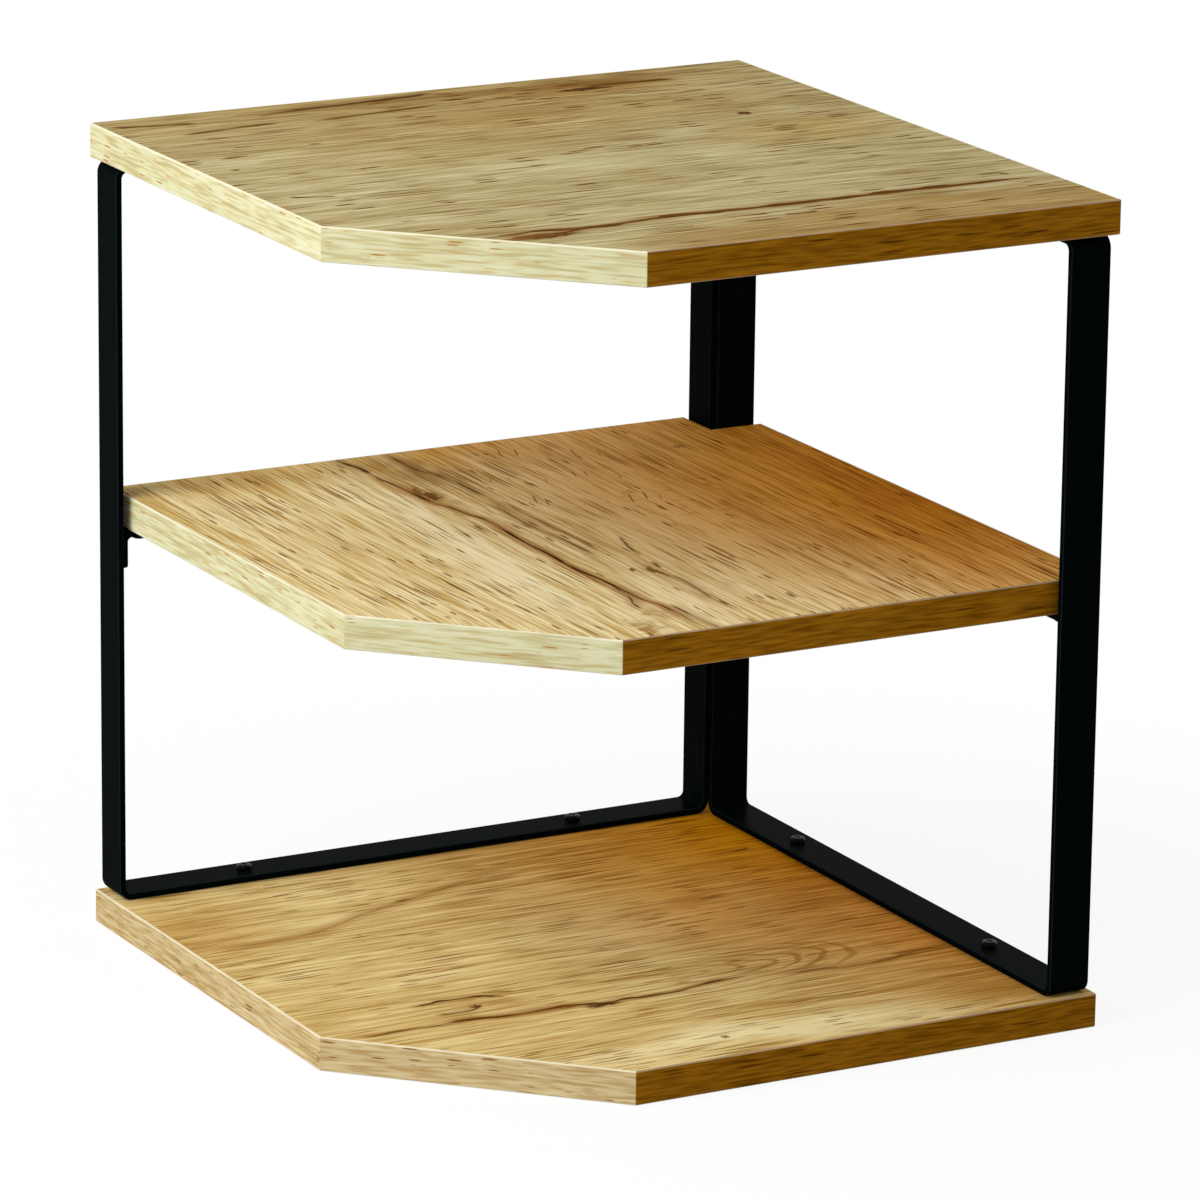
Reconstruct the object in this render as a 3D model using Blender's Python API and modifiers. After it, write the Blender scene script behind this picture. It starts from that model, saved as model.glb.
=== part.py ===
"""Countertop corner shelf: three cut-corner boards held by two flat-bar loops.

Run with: blender --background --python part.py

Metres, +Z up. The origin is on the worktop, in the middle of the shelf's square plan. The two
walls that the shelf stands against are on its +X and +Y sides, and the cut corner points to -X, -Y.
In the names below, left is the -X, +Y end and right is the +X, -Y end, as seen from the cut corner.
"""

import math

import bmesh
import bpy
from mathutils import Matrix, Vector

# Boards
BOARD_SIDE = 0.325
BOARD_THICKNESS = 0.015
TOTAL_HEIGHT = 0.365
CORNER_CUT = 0.098
SHELF_LEVEL = 0.200
SHELF_CORNER_CUT = 0.085
SHELF_END_GAP = 0.004
NOTCH_CLEARANCE = 0.0007

# Edge bands, glued to the board edges
BAND_THICKNESS = 0.001
BAND_ARRIS_RADIUS = 0.0006
GLUE_GAP = 0.0003
BAND_END_GAP = 0.0003

# Frames, each a closed loop of flat bar
BAR_WIDTH = 0.019
BAR_THICKNESS = 0.003
BAR_EDGE_RADIUS = 0.0006
BEND_RADIUS = 0.006
WALL_INSET = 0.0035
FRONT_INSET = 0.002
LOOP_GAP = 0.0005
SEAT_GAP = 0.0003

# Rail screws, which hold the boards to the loops
RAIL_SCREW_SPACING = 0.168
RAIL_SCREW_LENGTH = 0.012

# Brackets under the middle board
BRACKET_WIDTH = 0.014
BRACKET_THICKNESS = 0.003
BRACKET_DROP = 0.017
BRACKET_REACH = 0.018
BRACKET_BEND_RADIUS = 0.005
BRACKET_CORNER_RADIUS = 0.002
BRACKET_EDGE_RADIUS = 0.0004
SHELF_SCREW_LENGTH = 0.012

# Pan-head wood screw, with a plain shank between its thread's crest and root
PAN_HEAD_RADIUS = 0.0035
PAN_HEAD_HEIGHT = 0.0022
PAN_RIM_HEIGHT = 0.0010
PAN_FLAT_RADIUS = 0.0020
WOOD_SHANK_RADIUS = 0.0016
WOOD_POINT_LENGTH = 0.0035

# Countersunk machine screw
FLAT_HEAD_RADIUS = 0.0036
FLAT_RIM_HEIGHT = 0.0003
MACHINE_SHANK_RADIUS = 0.0020
POST_FLOOR = 0.0006

# Cross recess, shared by both screws
RECESS_LENGTH = 0.0038
RECESS_WIDTH = 0.0010
RECESS_DEPTH = 0.0012

# Fits
SHANK_CLEARANCE = 0.0003
HOLE_DEPTH_CLEARANCE = 0.0010
CUT_OVERRUN = 0.0010

# Facets
BEND_STEPS = 6
SCREW_STEPS = 16
DOME_STEPS = 3
CORNER_STEPS = 3
EDGE_STEPS = 2
SHARP_ANGLE = math.radians(40)
FLAT_ANGLE = math.radians(0.5)
MERGE_DISTANCE = 0.00001

# Sizes that follow from the ones above
HALF_SIDE = BOARD_SIDE / 2
SHELF_UNDERSIDE = SHELF_LEVEL - BOARD_THICKNESS
TOP_UNDERSIDE = TOTAL_HEIGHT - BOARD_THICKNESS
BAR_MIDDLE = WALL_INSET + BAR_WIDTH / 2
REAR_POST_FACE = WALL_INSET + BAR_WIDTH + LOOP_GAP
FRONT_POST_FACE = BOARD_SIDE - FRONT_INSET
LOOP_MIDDLE = (REAR_POST_FACE + FRONT_POST_FACE) / 2
LOOP_BOTTOM = BOARD_THICKNESS + SEAT_GAP
LOOP_TOP = TOP_UNDERSIDE - SEAT_GAP
SHELF_SIDE = FRONT_POST_FACE - BAR_THICKNESS - SHELF_END_GAP
NOTCH_SIDE = REAR_POST_FACE + BAR_THICKNESS + NOTCH_CLEARANCE
CORE_INSET = BAND_THICKNESS + GLUE_GAP
BRACKET_TOP = SHELF_UNDERSIDE - SEAT_GAP
BRACKET_SCREW_HEIGHT = BRACKET_TOP - (BRACKET_BEND_RADIUS + BRACKET_DROP) / 2
WALL_CORNER = Vector((HALF_SIDE, HALF_SIDE, 0))

# Each frame's level directions: along its wall from the wall corner, and out from its wall
UP = Vector((0, 0, 1))
FRAME_DIRECTIONS = {
    "left": (Vector((-1, 0, 0)), Vector((0, -1, 0))),
    "right": (Vector((0, -1, 0)), Vector((-1, 0, 0))),
}


def start_collections():
    """Empty the scene and return the collections for the shelf's parts and for its cutters."""
    for old in list(bpy.data.objects):
        bpy.data.objects.remove(old, do_unlink=True)
    parts = bpy.data.collections.new("corner_shelf")
    cutters = bpy.data.collections.new("corner_shelf_cutters")
    for collection in (parts, cutters):
        bpy.context.scene.collection.children.link(collection)
    return parts, cutters


PARTS, CUTTERS = start_collections()


# Materials

def material(name, colour, roughness, metallic=0.0):
    """Return a Principled material with this linear colour."""
    made = bpy.data.materials.new(name)
    made.use_nodes = True
    shader = made.node_tree.nodes["Principled BSDF"]
    shader.inputs["Base Color"].default_value = (*colour, 1.0)
    shader.inputs["Roughness"].default_value = roughness
    shader.inputs["Metallic"].default_value = metallic
    made.diffuse_color = (*colour, 1.0)
    return made


OAK_BOARD = material("printed_oak_board", (0.48, 0.30, 0.11), 0.45)
OAK_BAND = material("oak_edge_band", (0.62, 0.46, 0.22), 0.40)
BLACK_POWDER_COAT = material("black_powder_coat", (0.006, 0.007, 0.008), 0.38, 0.2)
BLACK_ZINC = material("black_zinc", (0.012, 0.012, 0.013), 0.35, 0.9)


# Shared helpers

def on_frame(frame_side, along, out, height):
    """Return a world point by its distance along a frame, its distance from the wall and its height."""
    along_wall, out_of_wall = FRAME_DIRECTIONS[frame_side]
    return WALL_CORNER + along_wall * along + out_of_wall * out + UP * height


def add_object(name, mesh, collection, finish=None):
    """Link a mesh to a collection as an object of this name."""
    made = bpy.data.objects.new(name, mesh)
    collection.objects.link(made)
    if finish:
        mesh.materials.clear()
        mesh.materials.append(finish)
    return made


def flat_curve(name, outline):
    """Return a 2D curve object that joins the outline's points with straight sides and closes it."""
    curve = bpy.data.curves.new(name, "CURVE")
    curve.dimensions = "2D"
    spline = curve.splines.new("POLY")
    spline.points.add(len(outline) - 1)
    for point, (across, along) in zip(spline.points, outline):
        point.co = (across, along, 0, 1)
    spline.use_cyclic_u = True
    drawn = bpy.data.objects.new(name, curve)
    CUTTERS.objects.link(drawn)
    return drawn


def remove_curve(drawn):
    """Remove a curve object and its curve."""
    curve = drawn.data
    bpy.data.objects.remove(drawn, do_unlink=True)
    bpy.data.curves.remove(curve)


def mesh_of(drawn):
    """Return a curve object as one welded mesh with flat faces left whole, and remove the curve."""
    bpy.context.view_layer.update()
    graph = bpy.context.evaluated_depsgraph_get()
    mesh = bpy.data.meshes.new_from_object(drawn.evaluated_get(graph))
    remove_curve(drawn)
    work = bmesh.new()
    work.from_mesh(mesh)
    bmesh.ops.remove_doubles(work, verts=work.verts, dist=MERGE_DISTANCE)
    bmesh.ops.dissolve_limit(work, angle_limit=FLAT_ANGLE, verts=work.verts, edges=work.edges)
    bmesh.ops.recalc_face_normals(work, faces=work.faces)
    work.to_mesh(mesh)
    work.free()
    return mesh


def swept_loop(path, section):
    """Return a mesh of a closed path that carries a closed section all the way round.

    The section's x lies in the path's plane and its y stands square to it.
    """
    carrier = flat_curve("path", path)
    profile = flat_curve("section", section)
    carrier.data.dimensions = "3D"
    carrier.data.twist_mode = "Z_UP"
    carrier.data.fill_mode = "FULL"
    carrier.data.bevel_mode = "OBJECT"
    carrier.data.bevel_object = profile
    mesh = mesh_of(carrier)
    remove_curve(profile)
    return mesh


def filled_outline(outline, depth):
    """Return a closed mesh of a flat outline, extruded by depth around its own plane."""
    drawn = flat_curve("outline", outline)
    drawn.data.fill_mode = "BOTH"
    drawn.data.extrude = depth / 2
    return mesh_of(drawn)


def round_edges(thing, radius):
    """Round the sharp edges of an object."""
    rounding = thing.modifiers.new("rounded_edges", "BEVEL")
    rounding.width = radius
    rounding.segments = EDGE_STEPS
    rounding.limit_method = "ANGLE"
    rounding.angle_limit = SHARP_ANGLE
    rounding.use_clamp_overlap = True


def round_chosen_edges(mesh, is_chosen, radius, steps):
    """Round the edges of a mesh for which is_chosen says yes."""
    work = bmesh.new()
    work.from_mesh(mesh)
    chosen = [edge for edge in work.edges if is_chosen(edge)]
    bmesh.ops.bevel(
        work, geom=chosen, offset=radius, segments=steps, profile=0.5,
        affect="EDGES", clamp_overlap=True)
    work.to_mesh(mesh)
    work.free()


def cut(thing, cutter):
    """Take cutter out of thing."""
    cutter.hide_render = True
    cutter.display_type = "WIRE"
    boolean = thing.modifiers.new("cut_" + cutter.name, "BOOLEAN")
    boolean.operation = "DIFFERENCE"
    boolean.solver = "EXACT"
    boolean.object = cutter


def smooth(thing):
    """Shade an object smooth, but for its sharp edges."""
    thing.data.shade_smooth()
    thing.data.set_sharp_from_angle(angle=SHARP_ANGLE)


def pin_cutters(name, radius, ends):
    """Return one cutter made of round pins, each from its start to its end point."""
    work = bmesh.new()
    for start, end in ends:
        along = end - start
        turn = along.to_track_quat("Z", "Y").to_matrix().to_4x4()
        spot = Matrix.Translation((start + end) / 2) @ turn
        bmesh.ops.create_cone(
            work, cap_ends=True, segments=SCREW_STEPS, radius1=radius, radius2=radius,
            depth=along.length, matrix=spot)
    mesh = bpy.data.meshes.new(name)
    work.to_mesh(mesh)
    work.free()
    return add_object(name, mesh, CUTTERS)


# Boards and their edge bands

def cut_corner_outline(side, corner_cut, notch=0):
    """Return a board's outline as distances from the two walls, with the names of its sides.

    The outline is anticlockwise in those distances: it runs down the left side, over the cut corner
    and up the right side to the wall corner. A notch takes a square out of the wall corner.
    """
    front = side - corner_cut
    points = [(side, 0), (side, front), (front, side), (0, side)]
    sides = ["left", "cut", "right", "right_wall"]
    if notch:
        points += [(0, notch), (notch, notch), (notch, 0)]
        sides += ["right_notch", "left_notch", "left_wall"]
    else:
        points += [(0, 0)]
        sides += ["left_wall"]
    return points, sides


def inset_outline(points, insets):
    """Return an anticlockwise outline with each side moved inwards by its own inset.

    A new corner is where the two moved sides next to it cross.
    """
    lines = []
    for start, end, inset in zip(points, points[1:] + points[:1], insets):
        along = (Vector(end) - Vector(start)).normalized()
        inward = Vector((-along.y, along.x))
        lines.append((Vector(start) + inward * inset, along))
    moved = []
    for index, (other, across) in enumerate(lines):
        start, along = lines[index - 1]
        reach = (other - start).cross(across) / along.cross(across)
        moved.append(tuple(start + along * reach))
    return moved


def on_plan(points):
    """Turn wall distances into plan coordinates, with the origin in the middle of the plan."""
    return [(HALF_SIDE - along_a, HALF_SIDE - along_b) for along_a, along_b in points]


def board(name, outline, sides, underside, holes):
    """Make a board's core and the glued band on each of its sides but the notch's.

    holes is a list of blind pilot holes, each the start and end point of its drill.
    """
    middle = underside + BOARD_THICKNESS / 2
    banded = ["notch" not in side for side in sides]
    core_outline = inset_outline(outline, [CORE_INSET * has_band for has_band in banded])
    core = add_object(name, filled_outline(on_plan(core_outline), BOARD_THICKNESS), PARTS, OAK_BOARD)
    core.location.z = middle
    cut(core, pin_cutters(name + "_pilot_drill", WOOD_SHANK_RADIUS + SHANK_CLEARANCE, holes))
    inner = inset_outline(outline, [BAND_THICKNESS * has_band for has_band in banded])
    for index, side in enumerate(sides):
        if banded[index]:
            after = (index + 1) % len(outline)
            corners = (outline[index], outline[after], inner[after], inner[index])
            meets_band = (banded[index - 1], banded[after])
            edge_band(name + "_" + side + "_band", corners, meets_band, middle)


def edge_band(name, corners, meets_band, middle):
    """Make one edge band: a strip on a board's side, mitred and a little short of the next band.

    meets_band says for its start and its end if another band is there.
    """
    outer_start, outer_end, inner_end, inner_start = [Vector(corner) for corner in corners]
    along = (outer_end - outer_start).normalized() * BAND_END_GAP
    for point in (outer_start, inner_start):
        point += along * meets_band[0]
    for point in (outer_end, inner_end):
        point -= along * meets_band[1]
    strip = [tuple(point) for point in (outer_start, outer_end, inner_end, inner_start)]
    mesh = filled_outline(on_plan(strip), BOARD_THICKNESS)
    out_a, out_b = (outer_start + outer_end - inner_start - inner_end).normalized()
    outward = Vector((-out_a, -out_b, 0))

    def is_round_outer_face(edge):
        """Say if an edge has the band's outer face on just one of its sides."""
        looks = [face.normal.dot(outward) > math.cos(SHARP_ANGLE) for face in edge.link_faces]
        return any(looks) and not all(looks)

    round_chosen_edges(mesh, is_round_outer_face, BAND_ARRIS_RADIUS, EDGE_STEPS)
    band = add_object(name, mesh, PARTS, OAK_BAND)
    band.location.z = middle
    smooth(band)


def rail_screw_places():
    """Return the distances along a frame of its two rail screws."""
    return [LOOP_MIDDLE - RAIL_SCREW_SPACING / 2, LOOP_MIDDLE + RAIL_SCREW_SPACING / 2]


def drill(frame_side, along, start, end):
    """Return the two ends of an upright drill through the middle of a frame's bar."""
    return (on_frame(frame_side, along, BAR_MIDDLE, start),
            on_frame(frame_side, along, BAR_MIDDLE, end))


def make_boards():
    """Make the three boards, drilled for the screws that hold them."""
    rail_reach = RAIL_SCREW_LENGTH - BAR_THICKNESS - SEAT_GAP + HOLE_DEPTH_CLEARANCE
    shelf_reach = SHELF_SCREW_LENGTH - BRACKET_THICKNESS - SEAT_GAP + HOLE_DEPTH_CLEARANCE
    frames = ("left", "right")
    bottom_holes = [
        drill(frame, along, BOARD_THICKNESS - rail_reach, BOARD_THICKNESS + CUT_OVERRUN)
        for frame in frames for along in rail_screw_places()]
    top_holes = [
        drill(frame, along, TOP_UNDERSIDE - CUT_OVERRUN, TOP_UNDERSIDE + rail_reach)
        for frame in frames for along in rail_screw_places()]
    shelf_holes = [
        drill(frame, shelf_screw_place(end), SHELF_UNDERSIDE - CUT_OVERRUN, SHELF_UNDERSIDE + shelf_reach)
        for frame in frames for end in ("front", "rear")]
    full_outline, full_sides = cut_corner_outline(BOARD_SIDE, CORNER_CUT)
    shelf_outline, shelf_sides = cut_corner_outline(SHELF_SIDE, SHELF_CORNER_CUT, NOTCH_SIDE)
    board("bottom_board", full_outline, full_sides, 0, bottom_holes)
    board("middle_board", shelf_outline, shelf_sides, SHELF_UNDERSIDE, shelf_holes)
    board("top_board", full_outline, full_sides, TOP_UNDERSIDE, top_holes)


# Frames

def arc(centre, radius, start_angle, steps):
    """Return the points of a quarter turn, anticlockwise from its start angle."""
    turns = [start_angle + math.radians(90) * step / steps for step in range(steps + 1)]
    return [(centre[0] + radius * math.cos(turn), centre[1] + radius * math.sin(turn)) for turn in turns]


def rounded_rectangle(low, high, radius, steps):
    """Return a rectangle's outline with round corners, anticlockwise."""
    left, right = low[0] + radius, high[0] - radius
    under, over = low[1] + radius, high[1] - radius
    points = []
    for quarter, centre in enumerate([(right, over), (left, over), (left, under), (right, under)]):
        points += arc(centre, radius, math.radians(90) * quarter, steps)
    return points


def stand_up(mesh, frame_side):
    """Carry a mesh drawn flat to its place in the middle of a frame's bar.

    The drawing's x is the distance along the frame, its y the height, and its z the distance from
    the middle of the bar, away from the wall. That mirrors a drawing for the left frame, so its
    faces are turned back.
    """
    along_wall, out_of_wall = FRAME_DIRECTIONS[frame_side]
    turn = Matrix((along_wall, UP, out_of_wall)).transposed()
    mesh.transform(Matrix.Translation(on_frame(frame_side, 0, BAR_MIDDLE, 0)) @ turn.to_4x4())
    if turn.determinant() < 0:
        mesh.flip_normals()


def make_frame(frame_side):
    """Make one loop of flat bar, bent at its four corners and drilled for its screws."""
    half = BAR_THICKNESS / 2
    low = (REAR_POST_FACE + half, LOOP_BOTTOM + half)
    high = (FRONT_POST_FACE - half, LOOP_TOP - half)
    path = rounded_rectangle(low, high, BEND_RADIUS - half, BEND_STEPS)
    corner = (half, BAR_WIDTH / 2)
    section = rounded_rectangle((-corner[0], -corner[1]), corner, BAR_EDGE_RADIUS, EDGE_STEPS)
    mesh = swept_loop(path, section)
    stand_up(mesh, frame_side)
    name = frame_side + "_frame"
    loop = add_object(name, mesh, PARTS, BLACK_POWDER_COAT)
    rail_holes = []
    for along in rail_screw_places():
        rail_holes.append(drill(
            frame_side, along, LOOP_BOTTOM - CUT_OVERRUN, LOOP_BOTTOM + BAR_THICKNESS + CUT_OVERRUN))
        rail_holes.append(drill(
            frame_side, along, LOOP_TOP - BAR_THICKNESS - CUT_OVERRUN, LOOP_TOP + CUT_OVERRUN))
    cut(loop, pin_cutters(name + "_rail_drill", WOOD_SHANK_RADIUS + SHANK_CLEARANCE, rail_holes))
    post_holes = []
    for end in ("front", "rear"):
        face, inward = post_inner_face(end)
        mouth = face + inward * CUT_OVERRUN
        floor = face - inward * (BAR_THICKNESS - POST_FLOOR)
        post_holes.append([
            on_frame(frame_side, along, BAR_MIDDLE, BRACKET_SCREW_HEIGHT) for along in (mouth, floor)])
    cut(loop, pin_cutters(name + "_post_drill", MACHINE_SHANK_RADIUS + SHANK_CLEARANCE, post_holes))
    smooth(loop)


# Brackets

def post_inner_face(end):
    """Return where a post's inner face is along its frame, and which way it looks."""
    if end == "front":
        return FRONT_POST_FACE - BAR_THICKNESS, -1
    return REAR_POST_FACE + BAR_THICKNESS, 1


def shelf_screw_place(end):
    """Return how far along its frame a shelf screw stands: in the middle of its leg's flat part."""
    face, inward = post_inner_face(end)
    return face + inward * (SEAT_GAP + (BRACKET_BEND_RADIUS + BRACKET_REACH) / 2)


def bracket_outline():
    """Return the bent profile of a bracket: x away from its post, y up, with the corner at zero."""
    inner_radius = BRACKET_BEND_RADIUS - BRACKET_THICKNESS
    centre = (BRACKET_BEND_RADIUS, -BRACKET_BEND_RADIUS)
    outer_bend = arc(centre, BRACKET_BEND_RADIUS, math.radians(90), BEND_STEPS)
    inner_bend = arc(centre, inner_radius, math.radians(90), BEND_STEPS)
    return (
        [(BRACKET_REACH, 0)] + outer_bend + [(0, -BRACKET_DROP), (BRACKET_THICKNESS, -BRACKET_DROP)]
        + list(reversed(inner_bend)) + [(BRACKET_REACH, -BRACKET_THICKNESS)])


def make_bracket(frame_side, end):
    """Make one angle bracket, drilled for a shelf screw and countersunk for its post screw."""
    face, inward = post_inner_face(end)
    name = "_".join((end, frame_side, "shelf_bracket"))
    outline = [(face + inward * (SEAT_GAP + out), BRACKET_TOP + up) for out, up in bracket_outline()]
    mesh = filled_outline(outline, BRACKET_WIDTH)
    round_chosen_edges(mesh, is_leg_corner, BRACKET_CORNER_RADIUS, CORNER_STEPS)
    stand_up(mesh, frame_side)
    bracket = add_object(name, mesh, PARTS, BLACK_POWDER_COAT)
    round_edges(bracket, BRACKET_EDGE_RADIUS)
    shank_radius = WOOD_SHANK_RADIUS + SHANK_CLEARANCE
    upright = drill(frame_side, shelf_screw_place(end),
                    BRACKET_TOP - BRACKET_THICKNESS - CUT_OVERRUN, BRACKET_TOP + CUT_OVERRUN)
    cut(bracket, pin_cutters(name + "_shelf_drill", shank_radius, [upright]))
    seat = turned(name + "_countersink", countersink_profile(), CUTTERS)
    seat.matrix_world = bracket_screw_place(frame_side, end)
    cut(bracket, seat)
    smooth(bracket)


def is_leg_corner(edge):
    """Say if an edge is a free corner of a bracket's leg: sharp, and as long as the leg is thick."""
    is_thickness = abs(edge.calc_length() - BRACKET_THICKNESS) < MERGE_DISTANCE
    return is_thickness and edge.calc_face_angle() > SHARP_ANGLE


def bracket_screw_place(frame_side, end):
    """Return where a bracket screw's head face is, with its +Z pointing out of the post."""
    face, inward = post_inner_face(end)
    head = face + inward * (SEAT_GAP + BRACKET_THICKNESS)
    spot = on_frame(frame_side, head, BAR_MIDDLE, BRACKET_SCREW_HEIGHT)
    facing = FRAME_DIRECTIONS[frame_side][0] * inward
    return Matrix.Translation(spot) @ facing.to_track_quat("Z", "Y").to_matrix().to_4x4()


# Screws

def turned(name, profile, collection, finish=None):
    """Turn a profile of radius and height round its axis, from its top down to its tip."""
    mesh = bpy.data.meshes.new(name)
    points = [(radius, 0, height) for radius, height in profile]
    mesh.from_pydata(points, [(index, index + 1) for index in range(len(points) - 1)], [])
    made = add_object(name, mesh, collection, finish)
    screw = made.modifiers.new("turned", "SCREW")
    screw.steps = SCREW_STEPS
    screw.render_steps = SCREW_STEPS
    screw.use_merge_vertices = True
    screw.merge_threshold = MERGE_DISTANCE
    screw.use_smooth_shade = True
    return made


def pan_screw_profile(length):
    """Return a pan-head wood screw's profile. Zero is the underside of its head.

    The head is flat in the middle, and a quarter ellipse leads from there down to its rim.
    """
    dome = []
    for step in range(DOME_STEPS + 1):
        turn = math.radians(90) * step / DOME_STEPS
        out = PAN_FLAT_RADIUS + (PAN_HEAD_RADIUS - PAN_FLAT_RADIUS) * math.sin(turn)
        dome.append((out, PAN_RIM_HEIGHT + (PAN_HEAD_HEIGHT - PAN_RIM_HEIGHT) * math.cos(turn)))
    return [(0, PAN_HEAD_HEIGHT)] + dome + [
        (PAN_HEAD_RADIUS, 0),
        (WOOD_SHANK_RADIUS, 0),
        (WOOD_SHANK_RADIUS, WOOD_POINT_LENGTH - length),
        (0, -length),
    ]


def flat_screw_profile():
    """Return a countersunk machine screw's profile. Zero is the face of its head."""
    cone = FLAT_HEAD_RADIUS - MACHINE_SHANK_RADIUS
    shank_end = BRACKET_THICKNESS + SEAT_GAP + BAR_THICKNESS - POST_FLOOR - SHANK_CLEARANCE
    return [
        (0, 0),
        (FLAT_HEAD_RADIUS, 0),
        (FLAT_HEAD_RADIUS, -FLAT_RIM_HEIGHT),
        (MACHINE_SHANK_RADIUS, -FLAT_RIM_HEIGHT - cone),
        (MACHINE_SHANK_RADIUS, -shank_end),
        (0, -shank_end),
    ]


def countersink_profile():
    """Return the cutter for a bracket's countersunk hole, larger than its screw by the clearance."""
    cone = FLAT_HEAD_RADIUS - MACHINE_SHANK_RADIUS
    head = FLAT_HEAD_RADIUS + SHANK_CLEARANCE
    shank = MACHINE_SHANK_RADIUS + SHANK_CLEARANCE
    rim = FLAT_RIM_HEIGHT + SHANK_CLEARANCE
    return [
        (0, CUT_OVERRUN),
        (head, CUT_OVERRUN),
        (head, -rim),
        (shank, -rim - cone),
        (shank, -BRACKET_THICKNESS - CUT_OVERRUN),
        (0, -BRACKET_THICKNESS - CUT_OVERRUN),
    ]


def cross_recess(name, spot, face_height):
    """Return a cutter for the cross in a screw's head: a plus-shaped plug sunk from its face."""
    far, near = RECESS_LENGTH / 2, RECESS_WIDTH / 2
    corner = [(far, -near), (far, near), (near, near)]
    turns = [Matrix.Rotation(math.radians(90) * quarter, 2) for quarter in range(4)]
    outline = [tuple(turn @ Vector(point)) for turn in turns for point in corner]
    depth = RECESS_DEPTH + CUT_OVERRUN
    cutter = add_object(name, filled_outline(outline, depth), CUTTERS)
    lift = Matrix.Translation((0, 0, face_height - RECESS_DEPTH + depth / 2))
    cutter.matrix_world = spot @ lift
    return cutter


def place_screw(name, profile, face_height, spot):
    """Make a screw at a spot, whose +Z points out of its head, and cut its cross recess."""
    screw = turned(name, profile, PARTS, BLACK_ZINC)
    screw.matrix_world = spot
    cut(screw, cross_recess(name + "_recess", spot, face_height))


def upright_spot(frame_side, along, height, head_up):
    """Return the place of an upright screw in a frame's bar, with its head up or down."""
    turn = Matrix.Identity(4) if head_up else Matrix.Rotation(math.pi, 4, "X")
    return Matrix.Translation(on_frame(frame_side, along, BAR_MIDDLE, height)) @ turn


def make_screws():
    """Make every screw: four in each frame's rails, and two at each bracket."""
    for frame_side in ("left", "right"):
        for end, along in zip(("rear", "front"), rail_screw_places()):
            rail_profile = pan_screw_profile(RAIL_SCREW_LENGTH)
            low_seat = LOOP_BOTTOM + BAR_THICKNESS + SEAT_GAP
            high_seat = LOOP_TOP - BAR_THICKNESS - SEAT_GAP
            stem = "_".join((end, frame_side))
            place_screw(stem + "_bottom_rail_screw", rail_profile, PAN_HEAD_HEIGHT,
                        upright_spot(frame_side, along, low_seat, True))
            place_screw(stem + "_top_rail_screw", rail_profile, PAN_HEAD_HEIGHT,
                        upright_spot(frame_side, along, high_seat, False))
            shelf_seat = BRACKET_TOP - BRACKET_THICKNESS - SEAT_GAP
            place_screw(stem + "_shelf_screw", pan_screw_profile(SHELF_SCREW_LENGTH), PAN_HEAD_HEIGHT,
                        upright_spot(frame_side, shelf_screw_place(end), shelf_seat, False))
            place_screw(stem + "_bracket_screw", flat_screw_profile(), 0,
                        bracket_screw_place(frame_side, end))


make_boards()
for each_side in ("left", "right"):
    make_frame(each_side)
    for each_end in ("front", "rear"):
        make_bracket(each_side, each_end)
make_screws()
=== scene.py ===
"""Countertop corner shelf, dressed: rustic oak print boards on black powder coated flat-bar loops.

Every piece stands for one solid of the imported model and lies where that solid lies, in metres,
with +Z up, the walls on the +X and +Y sides and the cut corner towards -X, -Y.
"""
import logging
import math
from collections import defaultdict
from collections.abc import Callable
from dataclasses import dataclass, field
from enum import Enum
from functools import partial

import bpy
import numpy as np
from bpy.types import Material, Mesh, Node, NodeSocket, NodeTree, Object
from mathutils import Matrix, Vector


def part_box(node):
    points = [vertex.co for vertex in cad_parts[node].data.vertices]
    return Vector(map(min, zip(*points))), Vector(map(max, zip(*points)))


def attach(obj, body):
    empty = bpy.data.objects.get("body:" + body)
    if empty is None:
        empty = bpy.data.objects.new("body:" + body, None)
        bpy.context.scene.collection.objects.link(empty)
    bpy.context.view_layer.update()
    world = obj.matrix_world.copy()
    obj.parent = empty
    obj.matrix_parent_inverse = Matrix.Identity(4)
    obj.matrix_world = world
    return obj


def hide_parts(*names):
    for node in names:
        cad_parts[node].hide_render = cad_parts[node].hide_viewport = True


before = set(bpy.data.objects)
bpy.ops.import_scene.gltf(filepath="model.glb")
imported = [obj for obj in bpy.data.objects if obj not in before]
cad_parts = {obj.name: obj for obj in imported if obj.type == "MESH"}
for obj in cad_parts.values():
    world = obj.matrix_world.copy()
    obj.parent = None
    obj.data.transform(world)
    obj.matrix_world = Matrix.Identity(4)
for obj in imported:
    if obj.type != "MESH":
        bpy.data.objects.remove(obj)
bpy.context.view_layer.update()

MM = 0.001
QUARTER_TURN = math.pi / 2
BODY = "root"
BAND_SIDES = ("left", "cut", "right", "left_wall", "right_wall")
SHARP_ANGLE = math.radians(35)
# How far beside a round edge a further point keeps the flat next to it shaded flat.
FLAT_SUPPORT = 0.05 * MM
# How near its axis a turned shape's first and last rings stand.
AXIS_RING = 0.05 * MM
# A round cutter's facets.
CUTTER_COLUMNS = 32
# A thread's tooth is this high in its middle before it is cut off at 1, and falls off this steeply.
TOOTH_HEIGHT, TOOTH_SLOPE = 1.6, 5.2
BOARD_HALF = 7.5 * MM
# A flat pattern is stretched this much across its plane, so that height doesn't change it.
FLAT_DEPTH = 1e6
# How far the underside's print is moved aside, and how far a crack wanders, in millimetres.
UNDERSIDE_SHIFT, CRACK_WANDER = 640.0, 0.8
# How much of a crack's depth each millimetre from its edge gives.
CRACK_SHARPNESS = 2.5

log = logging.getLogger("corner_shelf")


class Slot(Enum):
    """The record's material slots."""

    BOARD = "printed_oak_board"
    BAND = "oak_edge_band"
    COAT = "black_powder_coat"
    ZINC = "black_zinc"


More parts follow.
